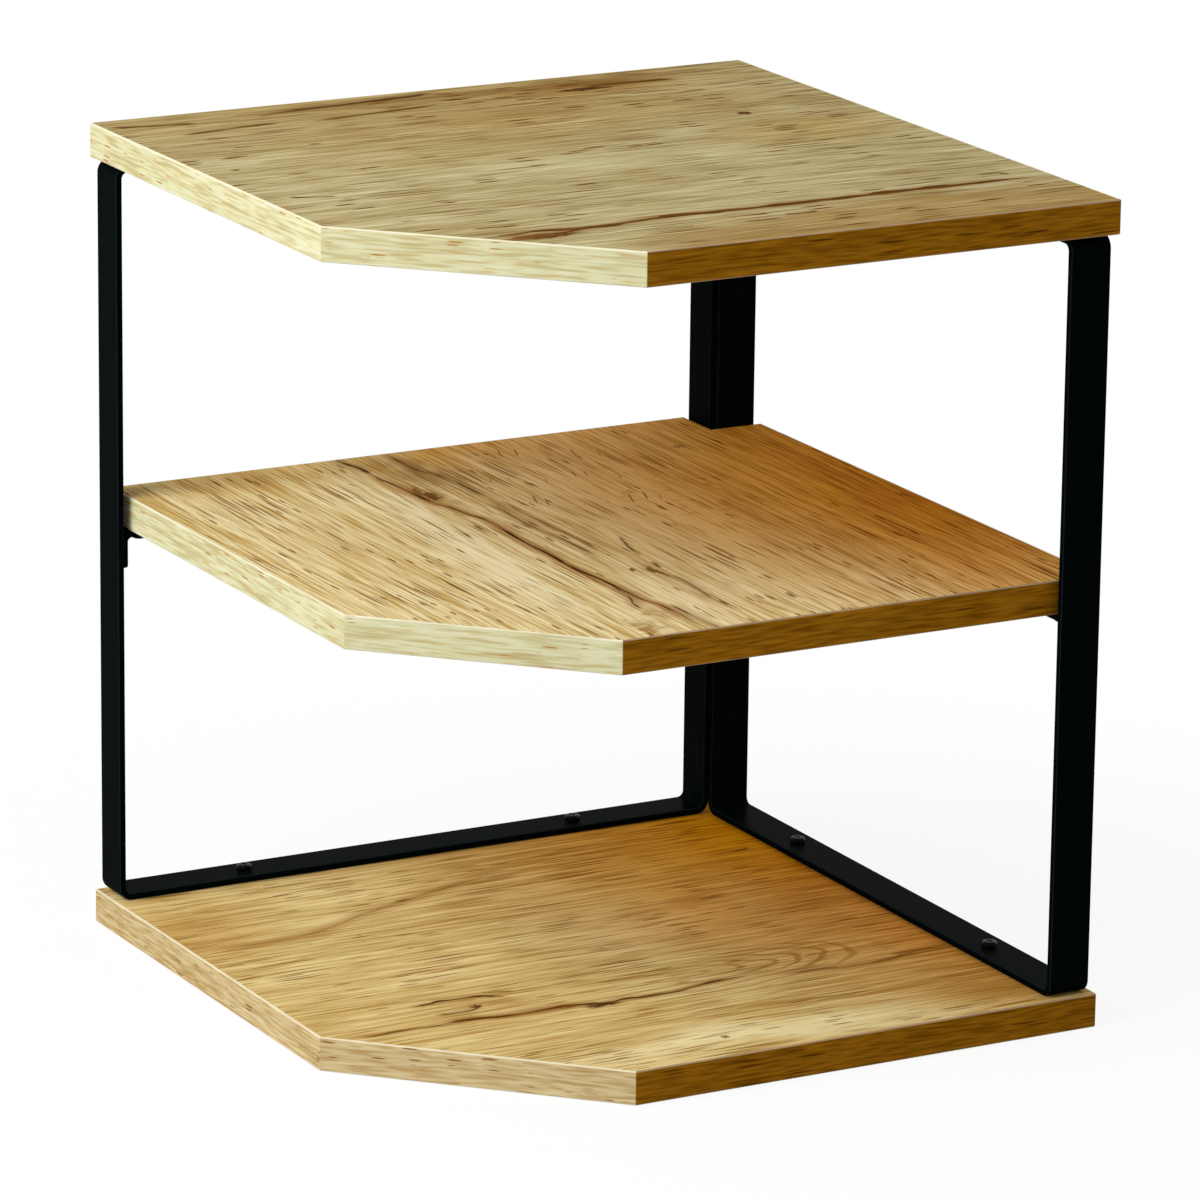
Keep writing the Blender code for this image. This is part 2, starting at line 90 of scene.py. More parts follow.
class Side(Enum):
    """The two walls' frames, named as seen from the cut corner."""

    LEFT = "left"
    RIGHT = "right"

    @property
    def along(self) -> int:
        """The world axis that the frame runs along."""
        return 0 if self is Side.LEFT else 1

    @property
    def across(self) -> int:
        """The world axis that the bar's width lies along."""
        return 1 - self.along


class End(Enum):
    """The two posts of a frame. The value is the way its inner face looks along the frame."""

    FRONT = 1
    REAR = -1


class Grain(Enum):
    """The world direction that a board's grain runs along, in degrees from +X."""

    ALONG_X = 0
    ALONG_Y = 90


# Meshes

def linked(name: str, data: bpy.types.ID) -> Object:
    """Put something into the scene as an object at the origin.

    Args:
        name: The object's name.
        data: Its mesh, lamp or camera.

    Returns:
        The object.
    """
    thing = bpy.data.objects.new(name, data)
    bpy.context.scene.collection.objects.link(thing)
    return thing


def shade(mesh: Mesh) -> None:
    """Shade a mesh smooth, and sharp at its real edges."""
    mesh.shade_smooth()
    mesh.set_sharp_from_angle(angle=SHARP_ANGLE)


@dataclass
class Surface:
    """A shape as arrays: its points, its faces and a UV for each face corner, all in metres."""

    points: np.ndarray
    faces: list[np.ndarray]
    corner_uv: list[np.ndarray] | None = None

    def volume(self) -> float:
        """Add up the signed volumes of the pyramids from the origin to each face's triangles.

        Returns:
            The volume in cubic metres, negative where the faces point inwards.
        """
        total = 0.0
        for block in self.faces:
            first = self.points[block[:, 0]]
            for step in range(1, block.shape[1] - 1):
                second, third = self.points[block[:, step]], self.points[block[:, step + 1]]
                total += float(np.einsum("ij,ij->i", first, np.cross(second, third)).sum()) / 6
        return total

    def mesh(self, name: str) -> Mesh:
        """Put the arrays into a Blender mesh, with its faces turned outwards and its real edges sharp.

        Args:
            name: The mesh's name.

        Returns:
            The new mesh.
        """
        way = 1 if self.volume() >= 0 else -1
        faces = [block[:, ::way] for block in self.faces]
        sizes = np.concatenate([np.full(len(block), block.shape[1]) for block in faces])
        corners = np.concatenate([block.ravel() for block in faces])
        mesh = bpy.data.meshes.new(name)
        mesh.vertices.add(len(self.points))
        mesh.vertices.foreach_set("co", self.points.astype(np.float32).ravel())
        mesh.loops.add(len(corners))
        mesh.loops.foreach_set("vertex_index", corners.astype(np.int32))
        mesh.polygons.add(len(sizes))
        mesh.polygons.foreach_set("loop_start", (np.cumsum(sizes) - sizes).astype(np.int32))
        if self.corner_uv is not None:
            layer = mesh.uv_layers.new(name="surface_lengths")
            flat = np.concatenate([block[:, ::way].reshape(-1, 2) for block in self.corner_uv])
            layer.data.foreach_set("uv", flat.astype(np.float32).ravel())
        mesh.update(calc_edges=True)
        mesh.validate()
        shade(mesh)
        return mesh


def grid_faces(rows: int, columns: int, rows_close: bool) -> tuple[np.ndarray, np.ndarray, np.ndarray]:
    """List the quads of a grid of points whose last column joins its first.

    Quad (r, c) joins the points (r, c), (r, c + 1), (r + 1, c + 1) and (r + 1, c), counted round.

    Args:
        rows: Points down the grid.
        columns: Points across the grid.
        rows_close: Whether the last row joins the first.

    Returns:
        The quads' point numbers, and each corner's row and column before it is counted round.
    """
    row, column = np.meshgrid(
        np.arange(rows if rows_close else rows - 1), np.arange(columns), indexing="ij")
    corner_rows = np.stack([row, row, row + 1, row + 1], -1).reshape(-1, 4)
    corner_columns = np.stack([column, column + 1, column + 1, column], -1).reshape(-1, 4)
    quads = (corner_rows % rows) * columns + corner_columns % columns
    return quads, corner_rows, corner_columns


def lengths(points: np.ndarray) -> np.ndarray:
    """Measure how far along a line each of its points is."""
    return np.concatenate([[0.0], np.cumsum(np.linalg.norm(np.diff(points, axis=0), axis=1))])


def closed_lengths(points: np.ndarray) -> np.ndarray:
    """Measure how far round a closed line each of its points is, with the full way round last."""
    return lengths(np.vstack([points, points[:1]]))


def carried(stations: np.ndarray, rows_close: bool = False, path_uv: np.ndarray | None = None,
            section_uv: np.ndarray | None = None) -> Surface:
    """Skin a closed section that has been carried along a path.

    Args:
        stations: The section's points at each station, as an array of stations x points x 3.
        rows_close: Whether the path closes on itself. An open path gets a flat cap at each end.
        path_uv: How far along the path each station is.
        section_uv: How far round the section each point is, with the full way round last.

    Returns:
        The closed surface.
    """
    rows, columns = stations.shape[:2]
    quads, corner_rows, corner_columns = grid_faces(rows, columns, rows_close)
    faces = [quads]
    if not rows_close:
        faces.append(np.arange(columns)[None, ::-1])
        faces.append((rows - 1) * columns + np.arange(columns)[None, :])
    uv = None
    if path_uv is not None:
        uv = [np.stack([path_uv[corner_rows], section_uv[corner_columns]], -1)]
        for cap, station in zip(faces[1:], (0, -1)):
            around = np.tile(section_uv[cap % columns][..., None], (1, 1, 2))
            around[..., 0] = path_uv[station]
            uv.append(around)
    return Surface(stations.reshape(-1, 3), faces, uv)


def turned_surface(rings: np.ndarray) -> Surface:
    """Skin rings of points round an axis, and close the first and the last ring with a fan.

    Args:
        rings: The points as an array of rings x points x 3.

    Returns:
        The closed surface.
    """
    rows, columns = rings.shape[:2]
    points = np.vstack([rings.reshape(-1, 3), rings[0].mean(0), rings[-1].mean(0)])
    around = np.arange(columns)
    after = (around + 1) % columns
    base = (rows - 1) * columns
    top_fan = np.stack([np.full(columns, rows * columns), after, around], -1)
    end_fan = np.stack([np.full(columns, rows * columns + 1), base + around, base + after], -1)
    return Surface(points, [grid_faces(rows, columns, False)[0], top_fan, end_fan])


def unit(vectors: np.ndarray) -> np.ndarray:
    """Give each vector a length of 1."""
    return vectors / np.linalg.norm(vectors, axis=1)[:, None]


def arc(centre: tuple[float, float], radius: float, start: float, sweep: float, steps: int) -> np.ndarray:
    """Place points evenly on an arc: centre plus radius times (cos, sin) of the angle, in radians."""
    angle = start + sweep * np.linspace(0, 1, steps + 1)
    return np.stack([centre[0] + radius * np.cos(angle), centre[1] + radius * np.sin(angle)], -1)


def circle(radii: np.ndarray | float, heights: np.ndarray | float, columns: int) -> np.ndarray:
    """Place points round the Z axis: radius times (cos, sin) of the angle, at the height.

    Args:
        radii: Each circle's radius, or each point's.
        heights: Their heights.
        columns: The points of a circle.

    Returns:
        The points.
    """
    angle = 2 * math.pi * np.arange(columns) / columns
    flat = np.stack([np.cos(angle), np.sin(angle)], -1) * np.asarray(radii)[..., None]
    return np.concatenate([flat, np.broadcast_to(heights, flat.shape[:-1])[..., None]], -1)


def rounded_rectangle(low: np.ndarray, high: np.ndarray, radius: float, steps: int) -> np.ndarray:
    """Draw a rectangle with round corners, anticlockwise, each a quarter circle.

    A further point stands just before and just after each corner, so that the flats shade flat.

    Args:
        low: The lowest corner.
        high: The highest corner.
        radius: The corners' radius.
        steps: Segments in each corner.

    Returns:
        The outline's points.
    """
    centres = [(high[0] - radius, high[1] - radius), (low[0] + radius, high[1] - radius),
               (low[0] + radius, low[1] + radius), (high[0] - radius, low[1] + radius)]
    parts = []
    for turn, centre in enumerate(centres):
        start = QUARTER_TURN * turn
        bend = arc(centre, radius, start, QUARTER_TURN, steps)
        travel = np.array([-math.sin(start), math.cos(start)])
        leave = np.array([-travel[1], travel[0]])
        parts += [bend[:1] - travel * FLAT_SUPPORT, bend, bend[-1:] + leave * FLAT_SUPPORT]
    return np.vstack(parts)


def drilled(shape: Surface, name: str, drills: list[Surface]) -> Mesh:
    """Cut drills out of a shape.

    Args:
        shape: The closed shape to cut.
        name: The name of the cut mesh.
        drills: The closed shapes to take away.

    Returns:
        The cut mesh.
    """
    body = linked(name, shape.mesh(name + "_blank"))
    used = [body]
    for number, drill in enumerate(drills):
        used.append(linked(f"{name}_drill_{number}", drill.mesh(f"{name}_drill_{number}")))
        cut = body.modifiers.new(f"drill_{number}", "BOOLEAN")
        cut.operation = "DIFFERENCE"
        cut.solver = "EXACT"
        cut.object = used[-1]
    graph = bpy.context.evaluated_depsgraph_get()
    mesh = bpy.data.meshes.new_from_object(body.evaluated_get(graph), depsgraph=graph)
    mesh.name = name
    for thing in used:
        old = thing.data
        bpy.data.objects.remove(thing)
        bpy.data.meshes.remove(old)
    shade(mesh)
    return mesh


def finish_piece(name: str, mesh: Mesh, finish: Material, node: str) -> None:
    """Add a piece, ride it on the body and let it stand for its CAD node.

    Args:
        name: The piece's name.
        mesh: Its mesh, in place.
        finish: Its material.
        node: The CAD node that it replaces.
    """
    piece = linked(name, mesh)
    mesh.materials.clear()
    mesh.materials.append(finish)
    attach(piece, BODY)
    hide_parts(node)
    log.info("%s stands for %s with %d faces", name, node, len(mesh.polygons))


# Shader nodes

def linear(hex_colour: str) -> tuple[float, float, float, float]:
    """Turn an sRGB hex value into linear red, green, blue and alpha."""
    shares = np.array([int(hex_colour[at:at + 2], 16) for at in (1, 3, 5)]) / 255
    values = np.where(shares <= 0.04045, shares / 12.92, ((shares + 0.055) / 1.055) ** 2.4)
    return (*values.tolist(), 1.0)


def feed(node: Node, feeds: dict | tuple) -> None:
    """Fill a node's inputs, each from a node, a socket or a value.

    A dict gives them by name or number, and a tuple in their order. A MapRange's are its value, the
    two ends that it comes from and the two ends that it goes to.

    Args:
        node: The node.
        feeds: What fills its inputs.
    """
    for key, source in feeds.items() if isinstance(feeds, dict) else enumerate(feeds):
        if isinstance(source, Node):
            source = source.outputs[0]
        if isinstance(source, NodeSocket):
            node.id_data.links.new(source, node.inputs[key])
        else:
            node.inputs[key].default_value = source


def add_node(tree: NodeTree, kind: str, feeds: dict | tuple = (), **settings: object) -> Node:
    """Add a shader node, set its options and fill its inputs.

    Args:
        tree: The node tree.
        kind: Its type without the ShaderNode prefix, and after a space its operation, if it has one.
        feeds: What fills its inputs.
        settings: The node's own options.

    Returns:
        The new node.
    """
    kind, _, operation = kind.partition(" ")
    node = tree.nodes.new("ShaderNode" + kind)
    if operation:
        node.operation = operation
    for option, choice in settings.items():
        setattr(node, option, choice)
    feed(node, feeds)
    return node


def in_millimetres(add: Callable[..., Node], kind: str) -> Node:
    """Give a material's Object or UV coordinates in millimetres."""
    return add("VectorMath SCALE", {0: add("TexCoord").outputs[kind], 3: 1 / MM})


def new_material(name: str) -> tuple[Material, Callable[..., Node], Node]:
    """Start a material with one Principled shader.

    Args:
        name: The material's name.

    Returns:
        The material, the function that adds a node to it, and its shader.
    """
    material = bpy.data.materials.new(name)
    material.use_nodes = True
    tree = material.node_tree
    return material, partial(add_node, tree), tree.nodes["Principled BSDF"]


# Oak

@dataclass(frozen=True)
class Zone:
    """An ellipse by its middle and its full sizes in world millimetres, turned by some degrees."""

    x: float
    y: float
    length: float
    width: float
    turn: float = field(default=0.0, kw_only=True)


@dataclass(frozen=True)
class Mark(Zone):
    """A knot, a smudge or a wash: one colour inside an ellipse with a ragged, soft rim."""

    colour: str
    soft: float = 0.6
    strength: float = 1.0
    ragged: float = 0.3
    blend: str = "MIX"


@dataclass(frozen=True)
class Tint(Mark):
    """A mark that darkens what lies under it and keeps its grain; on the lower boards, painted shade."""

    soft: float = 1.0
    ragged: float = 0.1
    blend: str = "MULTIPLY"


@dataclass(frozen=True)
class Arches(Zone):
    """Nested arches of growth lines, as where a flat-sawn board cuts the rings at a low angle.

    They are the +X ends of ellipses, and fade towards -X and beyond the outermost.
    """

    colour: str
    rings: float
    strength: float


@dataclass(frozen=True)
class Crack:
    """A crack or a dark growth line, drawn through a few places in world millimetres.

    Its width wanders, it thins out towards both ends, and resin has stained a soft rim along it.
    """

    places: tuple[tuple[float, float], ...]
    width: float
    strength: float
    colour: str
    rim: float
    rim_strength: float
    rim_colour: str = "#8A5A28"


@dataclass(frozen=True)
class Streaks:
    """Streaks along the grain: how long and wide they are in millimetres, and their contrast.

    The smaller the blur, the crisper their edges.
    """

    along: float
    across: float
    contrast: float
    detail: float
    blur: float = 0.25


@dataclass(frozen=True)
class Dashes:
    """Short crisp dashes: open pores, ray flecks and specks.

    The plane is cut into cells in millimetres, and a share of the cells hold one dash each, which
    takes up to the fill's part of its cell.
    """

    length: float
    width: float
    fill: float
    share: float
    strength: float
    colour: str
    soft: float
    crowding: float = 0.25
    turn: float = 0.0
    zone: Zone | None = None


@dataclass
class PrintedSheet:
    """One stretch of an oak print, while its nodes are added.

    `sheet` is its plane in world millimetres, which zones and marks are placed on, and `place` the
    same plane with x along the grain. `colour` and `pores`, their depth from 0 to 1, are the result.
    """

    oak: "OakPrint"
    add: Callable[..., Node]
    sheet: Node
    place: Node
    colour: NodeSocket | None = None
    pores: Node | None = None

    def stretched(self, source: Node, along: float, across: float, detail: float, shift: float) -> Node:
        """Add a noise that is stretched along the grain.

        Args:
            source: The plane that it lies on.
            along: How long its features are, in millimetres.
            across: How wide they are.
            detail: The noise's detail.
            shift: Where in the noise it starts, so that no two layers are alike.

        Returns:
            The noise's node.
        """
        seed = self.oak.seed
        scaled = self.add("Mapping", {
            "Vector": source, "Location": (seed + shift, seed * 0.7 - shift, seed),
            "Scale": (1 / along, 1 / across, 1 / 7)}, vector_type="POINT")
        return self.add("TexNoise", {"Vector": scaled, "Scale": 1.0, "Detail": detail, "Roughness": 0.5})

    def oval(self, zone: Zone) -> Node:
        """Give the plane as a zone has it: 0 in its middle, and a length of 1 at its edge."""
        return self.add("Mapping", (
            self.sheet, (zone.x, zone.y, 0.0), (0.0, 0.0, math.radians(zone.turn)),
            (zone.length / 2, zone.width / 2, FLAT_DEPTH)), vector_type="TEXTURE")

    def lay(self, share: Node, colour: str, blend: str = "MIX") -> None:
        """Lay a colour over what is drawn so far, at each point by its share from 0 to 1."""
        self.colour = self.add("Mix", {0: share, 6: self.colour, 7: linear(colour)},
                               data_type="RGBA", blend_type=blend).outputs[2]

    def draw_wood(self) -> None:
        """Draw plain oak: streaks, soft washes of colour over them, and every kind of dash on top.

        Before that, each point moves across the grain by a long and by a short soft noise.
        """
        long_bend = self.stretched(self.place, 130, 38, 1.0, 3.1)
        short_bend = self.stretched(self.place, 26, 9, 1.0, 5.7)
        bend = self.add("Math MULTIPLY", (long_bend, self.oak.bend))
        bend = self.add("Math MULTIPLY_ADD", (short_bend, self.oak.bend * 0.2, bend))
        aside = self.add("CombineXYZ", {"Y": bend})
        self.place = self.add("VectorMath ADD", (self.place, aside))
        self.draw_streaks()
        for wash in self.oak.washes:
            self.draw_mark(wash)
        for number, dashes in enumerate(self.oak.dashes):
            self.draw_dashes(dashes, number)

    def draw_streaks(self) -> None:
        """Draw the streaks: all their noises are added up, and the sum picks the tone."""
        total = 0.5
        for number, streaks in enumerate(self.oak.streaks):
            noise = self.stretched(self.place, streaks.along, streaks.across, streaks.detail,
                                   11.3 + 6.1 * number)
            moved = self.add("MapRange", (noise, 0.5 - streaks.blur, 0.5 + streaks.blur,
                                          -streaks.contrast, streaks.contrast))
            total = self.add("Math ADD", (moved, total))
        tone = self.add("ValToRGB", (total,))
        ramp = tone.color_ramp.elements
        pale, honey, brown = map(linear, self.oak.tones)
        ramp[0].color, ramp[1].color = brown, pale
        ramp.new(0.5).color = honey
        self.colour = tone.outputs[0]

    def draw_dashes(self, dashes: Dashes, number: int) -> None:
        """Draw one kind of dash: full where its cell's point is nearer than the dash's own radius.

        Args:
            dashes: What to draw.
            number: The layer's number, so that no two layers are alike.
        """
        seed = self.oak.seed
        cells = self.add("Mapping", (
            self.place, (seed * 37 + number * 51, seed * 23, 0.0),
            (0.0, 0.0, math.radians(dashes.turn)), (dashes.length, dashes.width, 1.0)),
            vector_type="TEXTURE")
        points = self.add("TexVoronoi", {"Vector": cells, "Scale": 1.0}, voronoi_dimensions="2D")
        chance = self.add("SeparateColor", (points.outputs["Color"],))
        clouds = self.stretched(self.place, 80, 28, 1.0, 47.3 + number)
        crowd = self.add("MapRange", (clouds, 0.3, 0.7, -dashes.crowding, dashes.crowding))
        raised = self.add("Math ADD", (chance, crowd))
        size = self.add("MapRange", (raised, 1 - dashes.share, 1.0, 0.0, dashes.fill))
        if dashes.zone is not None:
            away = self.add("VectorMath LENGTH", (self.oval(dashes.zone),))
            near = self.add("MapRange", (away.outputs["Value"], 0.5, 1.0, 1.0, 0.0),
                            interpolation_type="SMOOTHSTEP")
            size = self.add("Math MULTIPLY", (size, near))
        inside = self.add("Math SUBTRACT", (size, points.outputs["Distance"]))
        full = self.add("Math MULTIPLY", (inside, 1 / dashes.soft), use_clamp=True)
        drawn = self.add("Math MULTIPLY", (full, dashes.strength))
        self.lay(drawn, dashes.colour)
        self.pores = self.add("Math MAXIMUM", (self.pores, full)) if self.pores else full

    def draw_arches(self, arches: Arches) -> None:
        """Draw nested arches: thin lines where the sine of the ellipses' torn distance is high.

        Args:
            arches: What to draw.
        """
        local = self.oval(arches)
        away = self.add("VectorMath LENGTH", (local,)).outputs["Value"]
        wobble = self.stretched(self.sheet, 40, 14, 1.0, 53.9)
        torn = self.add("Math MULTIPLY_ADD", (wobble, 0.25, away))
        turned = self.add("Math MULTIPLY", (torn, arches.rings * 2 * math.pi))
        wave = self.add("Math SINE", (turned,))
        line = self.add("MapRange", (wave, 0.3, 1.0, 0.0, arches.strength),
                        interpolation_type="SMOOTHSTEP")
        near = self.add("MapRange", (away, 0.8, 1.15, 1.0, 0.0), interpolation_type="SMOOTHSTEP")
        share = self.add("Math MULTIPLY", (line, near))
        open_end = self.add("MapRange", (self.add("SeparateXYZ", (local,)), -0.4, 0.4),
                            interpolation_type="SMOOTHSTEP")
        self.lay(self.add("Math MULTIPLY", (share, open_end)), arches.colour)

    def draw_mark(self, mark: Mark) -> None:
        """Draw one mark: full inside its ellipse, after a noise has moved the ellipse sideways.

        Args:
            mark: What to draw.
        """
        local = self.oval(mark)
        noise = self.stretched(local, 1 / 3, 1.0, 2.0, mark.x * 0.37)
        wander = self.add("MapRange", {
            "Value": noise, "To Min": -mark.ragged * 3, "To Max": mark.ragged * 3})
        shift = self.add("CombineXYZ", {"Y": wander})
        torn = self.add("VectorMath ADD", (local, shift))
        away = self.add("VectorMath LENGTH", (torn,))
        inside = self.add("MapRange", (away.outputs["Value"], 1 - mark.soft, 1.0, mark.strength, 0.0),
                          interpolation_type="SMOOTHSTEP")
        self.lay(inside, mark.colour, mark.blend)

    def draw_crack(self, crack: Crack) -> None:
        """Draw one crack: its rim and then its core, by the distance from a curve through its places.

        Args:
            crack: What to draw.
        """
        runs_x = self.oak.grain is Grain.ALONG_X
        order = [0, 1] if runs_x else [1, 0]
        long_x, long_y = (34, 12) if runs_x else (12, 34)
        split = self.add("SeparateXYZ", (self.sheet,)).outputs
        along, across = split[order[0]], split[order[1]]
        places = np.array(crack.places)[:, order]
        places = places[np.argsort(places[:, 0])]
        start, end = places[0, 0], places[-1, 0]
        low, high = places[:, 1].min() - 1, places[:, 1].max() + 1
        share = self.add("MapRange", (along, start, end))
        curve = self.add("FloatCurve", {"Value": share})
        points = curve.mapping.curves[0].points
        spots = (places - [start, low]) / [end - start, high - low]
        points[0].location, points[1].location = spots[0], spots[-1]
        for spot in spots[1:-1]:
            points.new(*spot)
        curve.mapping.update()
        middle = self.add("MapRange", {"Value": curve, "To Min": low, "To Max": high})
        noise = self.stretched(self.sheet, long_x, long_y, 2.0, start * 0.31)
        wander = self.add("MapRange", {"Value": noise, "To Min": -CRACK_WANDER, "To Max": CRACK_WANDER})
        middle = self.add("Math ADD", (wander, middle))
        away = self.add("Math SUBTRACT", (across, middle))
        away = self.add("Math ABSOLUTE", (away,))
        taper_in = self.add("MapRange", (share, 0.0, 0.15))
        taper_out = self.add("MapRange", (share, 1.0, 0.85))
        taper = self.add("Math MULTIPLY", (taper_in, taper_out))
        swell = self.stretched(self.sheet, long_x / 2, long_y / 2, 1.0, end * 0.47)
        half = self.add("MapRange", (swell, 0.35, 0.65, crack.width * 0.35, crack.width))
        half = self.add("Math MULTIPLY", (half, taper))
        core = self.add("Math SUBTRACT", (half, away))
        core = self.add("Math MULTIPLY", (core, CRACK_SHARPNESS), use_clamp=True)
        core = self.add("Math MULTIPLY", (core, crack.strength))
        rim = self.add("MapRange", (away, crack.rim, 0.0, 0.0, crack.rim_strength),
                       interpolation_type="SMOOTHSTEP")
        self.lay(self.add("Math MULTIPLY", (rim, taper)), crack.rim_colour)
        self.lay(core, crack.colour)

    def press(self, shader: Node) -> None:
        """Give the shader the print's colour, its satin gloss and the pores' shallow relief.

        Args:
            shader: The material's shader.
        """
        gloss = self.oak.roughness
        feed(shader, {
            "Base Color": self.colour, "Specular IOR Level": self.oak.sheen_level,
            "Roughness": self.add("MapRange", {
                "Value": self.pores, "To Min": gloss, "To Max": gloss + 0.2}),
            "Normal": self.add("Bump", {
                "Height": self.pores, "Strength": 0.35, "Distance": 0.05 * MM}, invert=True)})


@dataclass(frozen=True)
class OakPrint:
    """Rustic oak, printed on paper and pressed with melamine resin.

    The eye gets fine streaks between a pale, a honey and a brown tone, short dark pores, cracks with
    brown rims, and a satin face that the press plate has embossed along the grain. The pores of the
    real print are about 0.3 mm wide and are drawn as wide as they need to show.
    """

    tones: tuple[str, str, str]
    seed: float
    streaks: tuple[Streaks, ...]
    dashes: tuple[Dashes, ...]
    bend: float = 5.0
    grain: Grain = Grain.ALONG_X
    washes: tuple[Mark, ...] = ()
    marks: tuple[Mark | Crack | Arches, ...] = ()
    roughness: float = 0.55
    sheen_level: float = 0.004

    def board_face(self, name: str, middle: float) -> Material:
        """Make the finish of a board's two faces, on its Object coordinates.

        The underside shows another stretch of the print: its plane is moved aside.

        Args:
            name: The material's name.
            middle: The height of the board's middle.

        Returns:
            The material.
        """
        material, add, shader = new_material(name)
        in_mm = in_millimetres(add, "Object")
        height = add("SeparateXYZ", (in_mm,)).outputs["Z"]
        under = add("Math LESS_THAN", (height, middle / MM))
        aside = add("CombineXYZ", {"Y": add("Math MULTIPLY", (under, UNDERSIDE_SHIFT))})
        sheet = add("VectorMath ADD", (in_mm, aside))
        place = add("Mapping", {
            "Vector": sheet, "Rotation": (0.0, 0.0, -math.radians(self.grain.value))},
            vector_type="POINT")
        drawn = PrintedSheet(self, add, sheet, place)
        drawn.draw_wood()
        for mark in self.marks:
            if isinstance(mark, Arches):
                drawn.draw_arches(mark)
            elif isinstance(mark, Crack):
                drawn.draw_crack(mark)
            else:
                drawn.draw_mark(mark)
        drawn.press(shader)
        return material

    def edge_strip(self, name: str, face_half: float, scrape_and_highlight_share: float) -> Material:
        """Make the finish of a glued edge strip, on its UV map.

        U runs along the strip and V across it, both in metres, with V zero in the middle of the
        outer face. Where the arris is scraped round, the strip's own pale plastic shows, and the same
        pale line is a painted highlight along the arris.

        Args:
            name: The material's name.
            face_half: Half the height of the flat outer face.
            scrape_and_highlight_share: How much of the pale plastic and painted highlight shows at the
                arris.

        Returns:
            The material.
        """
        material, add, shader = new_material(name)
        place = in_millimetres(add, "UV")
        drawn = PrintedSheet(self, add, place, place)
        drawn.draw_wood()
        # The pale line along the arris: scraped plastic, and also a painted highlight.
        out = add("Math ABSOLUTE", (add("SeparateXYZ", (place,)).outputs["Y"],))
        drawn.lay(add("MapRange", (out, face_half / MM, face_half / MM + 0.25, 0.0, scrape_and_highlight_share)),
                  "#EEE8D0")
        drawn.press(shader)
        return material


@dataclass(frozen=True)
class RawChipboard:
    """Wood chips pressed with resin, sawn and left bare, as inside the middle board's notch.

    The eye gets a matt mosaic of tan and brown flakes, finer towards the two faces.
    """

    chip_length: float = 2.6 * MM
    chip_height: float = 0.9 * MM

    def material(self) -> Material:
        """Make the finish: stretched cells, each in its own tan, with dark gaps between them.

        Returns:
            The material.
        """
        material, add, shader = new_material("raw_chipboard")
        cells = add("Mapping", {
            "Vector": add("TexCoord").outputs["Object"],
            "Scale": (1 / self.chip_length, 1 / self.chip_length, 1 / self.chip_height)},
            vector_type="POINT")
        chips = add("TexVoronoi", {"Vector": cells, "Scale": 1.0, "Randomness": 1.0})
        tone = add("ValToRGB", (add("SeparateColor", (chips.outputs["Color"],)),))
        ramp = tone.color_ramp.elements
        ramp[0].color, ramp[1].color = linear("#8A6638"), linear("#C9AB76")
        gap = add("MapRange", (chips.outputs["Distance"], 0.45, 0.8, 0.0, 0.7))
        dark = add("Mix", {0: gap, 6: tone, 7: linear("#5A3D1E")}, data_type="RGBA")
        feed(shader, {
            "Base Color": dark.outputs[2], "Roughness": 0.85, "Specular IOR Level": 0.1,
            "Normal": add("Bump", {"Height": gap, "Strength": 0.6, "Distance": 0.15 * MM},
                          invert=True)})
        return material


# Metal finishes

@dataclass(frozen=True)
class PowderCoat:
    """Black polyester powder coat, baked on bent steel bar.

    The eye gets a deep satin black with a fine orange peel, a few faint specks of dust and a thin,
    blue-grey highlight painted along the bar's arrises.
    """

    colour: str = "#050909"
    dust_colour: str = "#2A3438"
    # The colour of the highlight painted along the bar's arrises.
    arris_highlight_colour: str = "#18242A"
    peel_mm: float = 0.6
    speck_mm: float = 1.1
    roughness: float = 0.34
    sheen_level: float = 0.002

    def material(self) -> Material:
        """Make the finish on Object coordinates, and on the UV map's V, which is 1 along an arris.

        Returns:
            The material.
        """
        material, add, shader = new_material("black_powder_coat_satin")
        place = add("TexCoord").outputs
        in_mm = add("VectorMath SCALE", {0: place["Object"], 3: 1 / MM})
        peel = add("TexNoise", {"Vector": in_mm, "Scale": 1 / self.peel_mm, "Detail": 2.0})
        specks = add("TexNoise", {"Vector": in_mm, "Scale": 1 / self.speck_mm, "Detail": 0.0})
        dusty = add("Mix", {0: add("MapRange", (specks, 0.82, 0.86, 0.0, 0.3)),
                            6: linear(self.colour), 7: linear(self.dust_colour)}, data_type="RGBA")
        # A blue-grey highlight is painted along the bar's arrises, where the UV's V is 1.
        arris = add("SeparateXYZ", (place["UV"],)).outputs["Y"]
        dust_and_highlight = add("Mix", {0: arris, 6: dusty.outputs[2], 7: linear(self.arris_highlight_colour)},
                   data_type="RGBA")
        feed(shader, {
            "Base Color": dust_and_highlight.outputs[2], "Specular IOR Level": self.sheen_level,
            "Roughness": add("MapRange", {
                "Value": peel, "To Min": self.roughness - 0.05, "To Max": self.roughness + 0.05}),
            "Normal": add("Bump", {"Height": peel, "Strength": 0.25, "Distance": 0.04 * MM})})
        return material


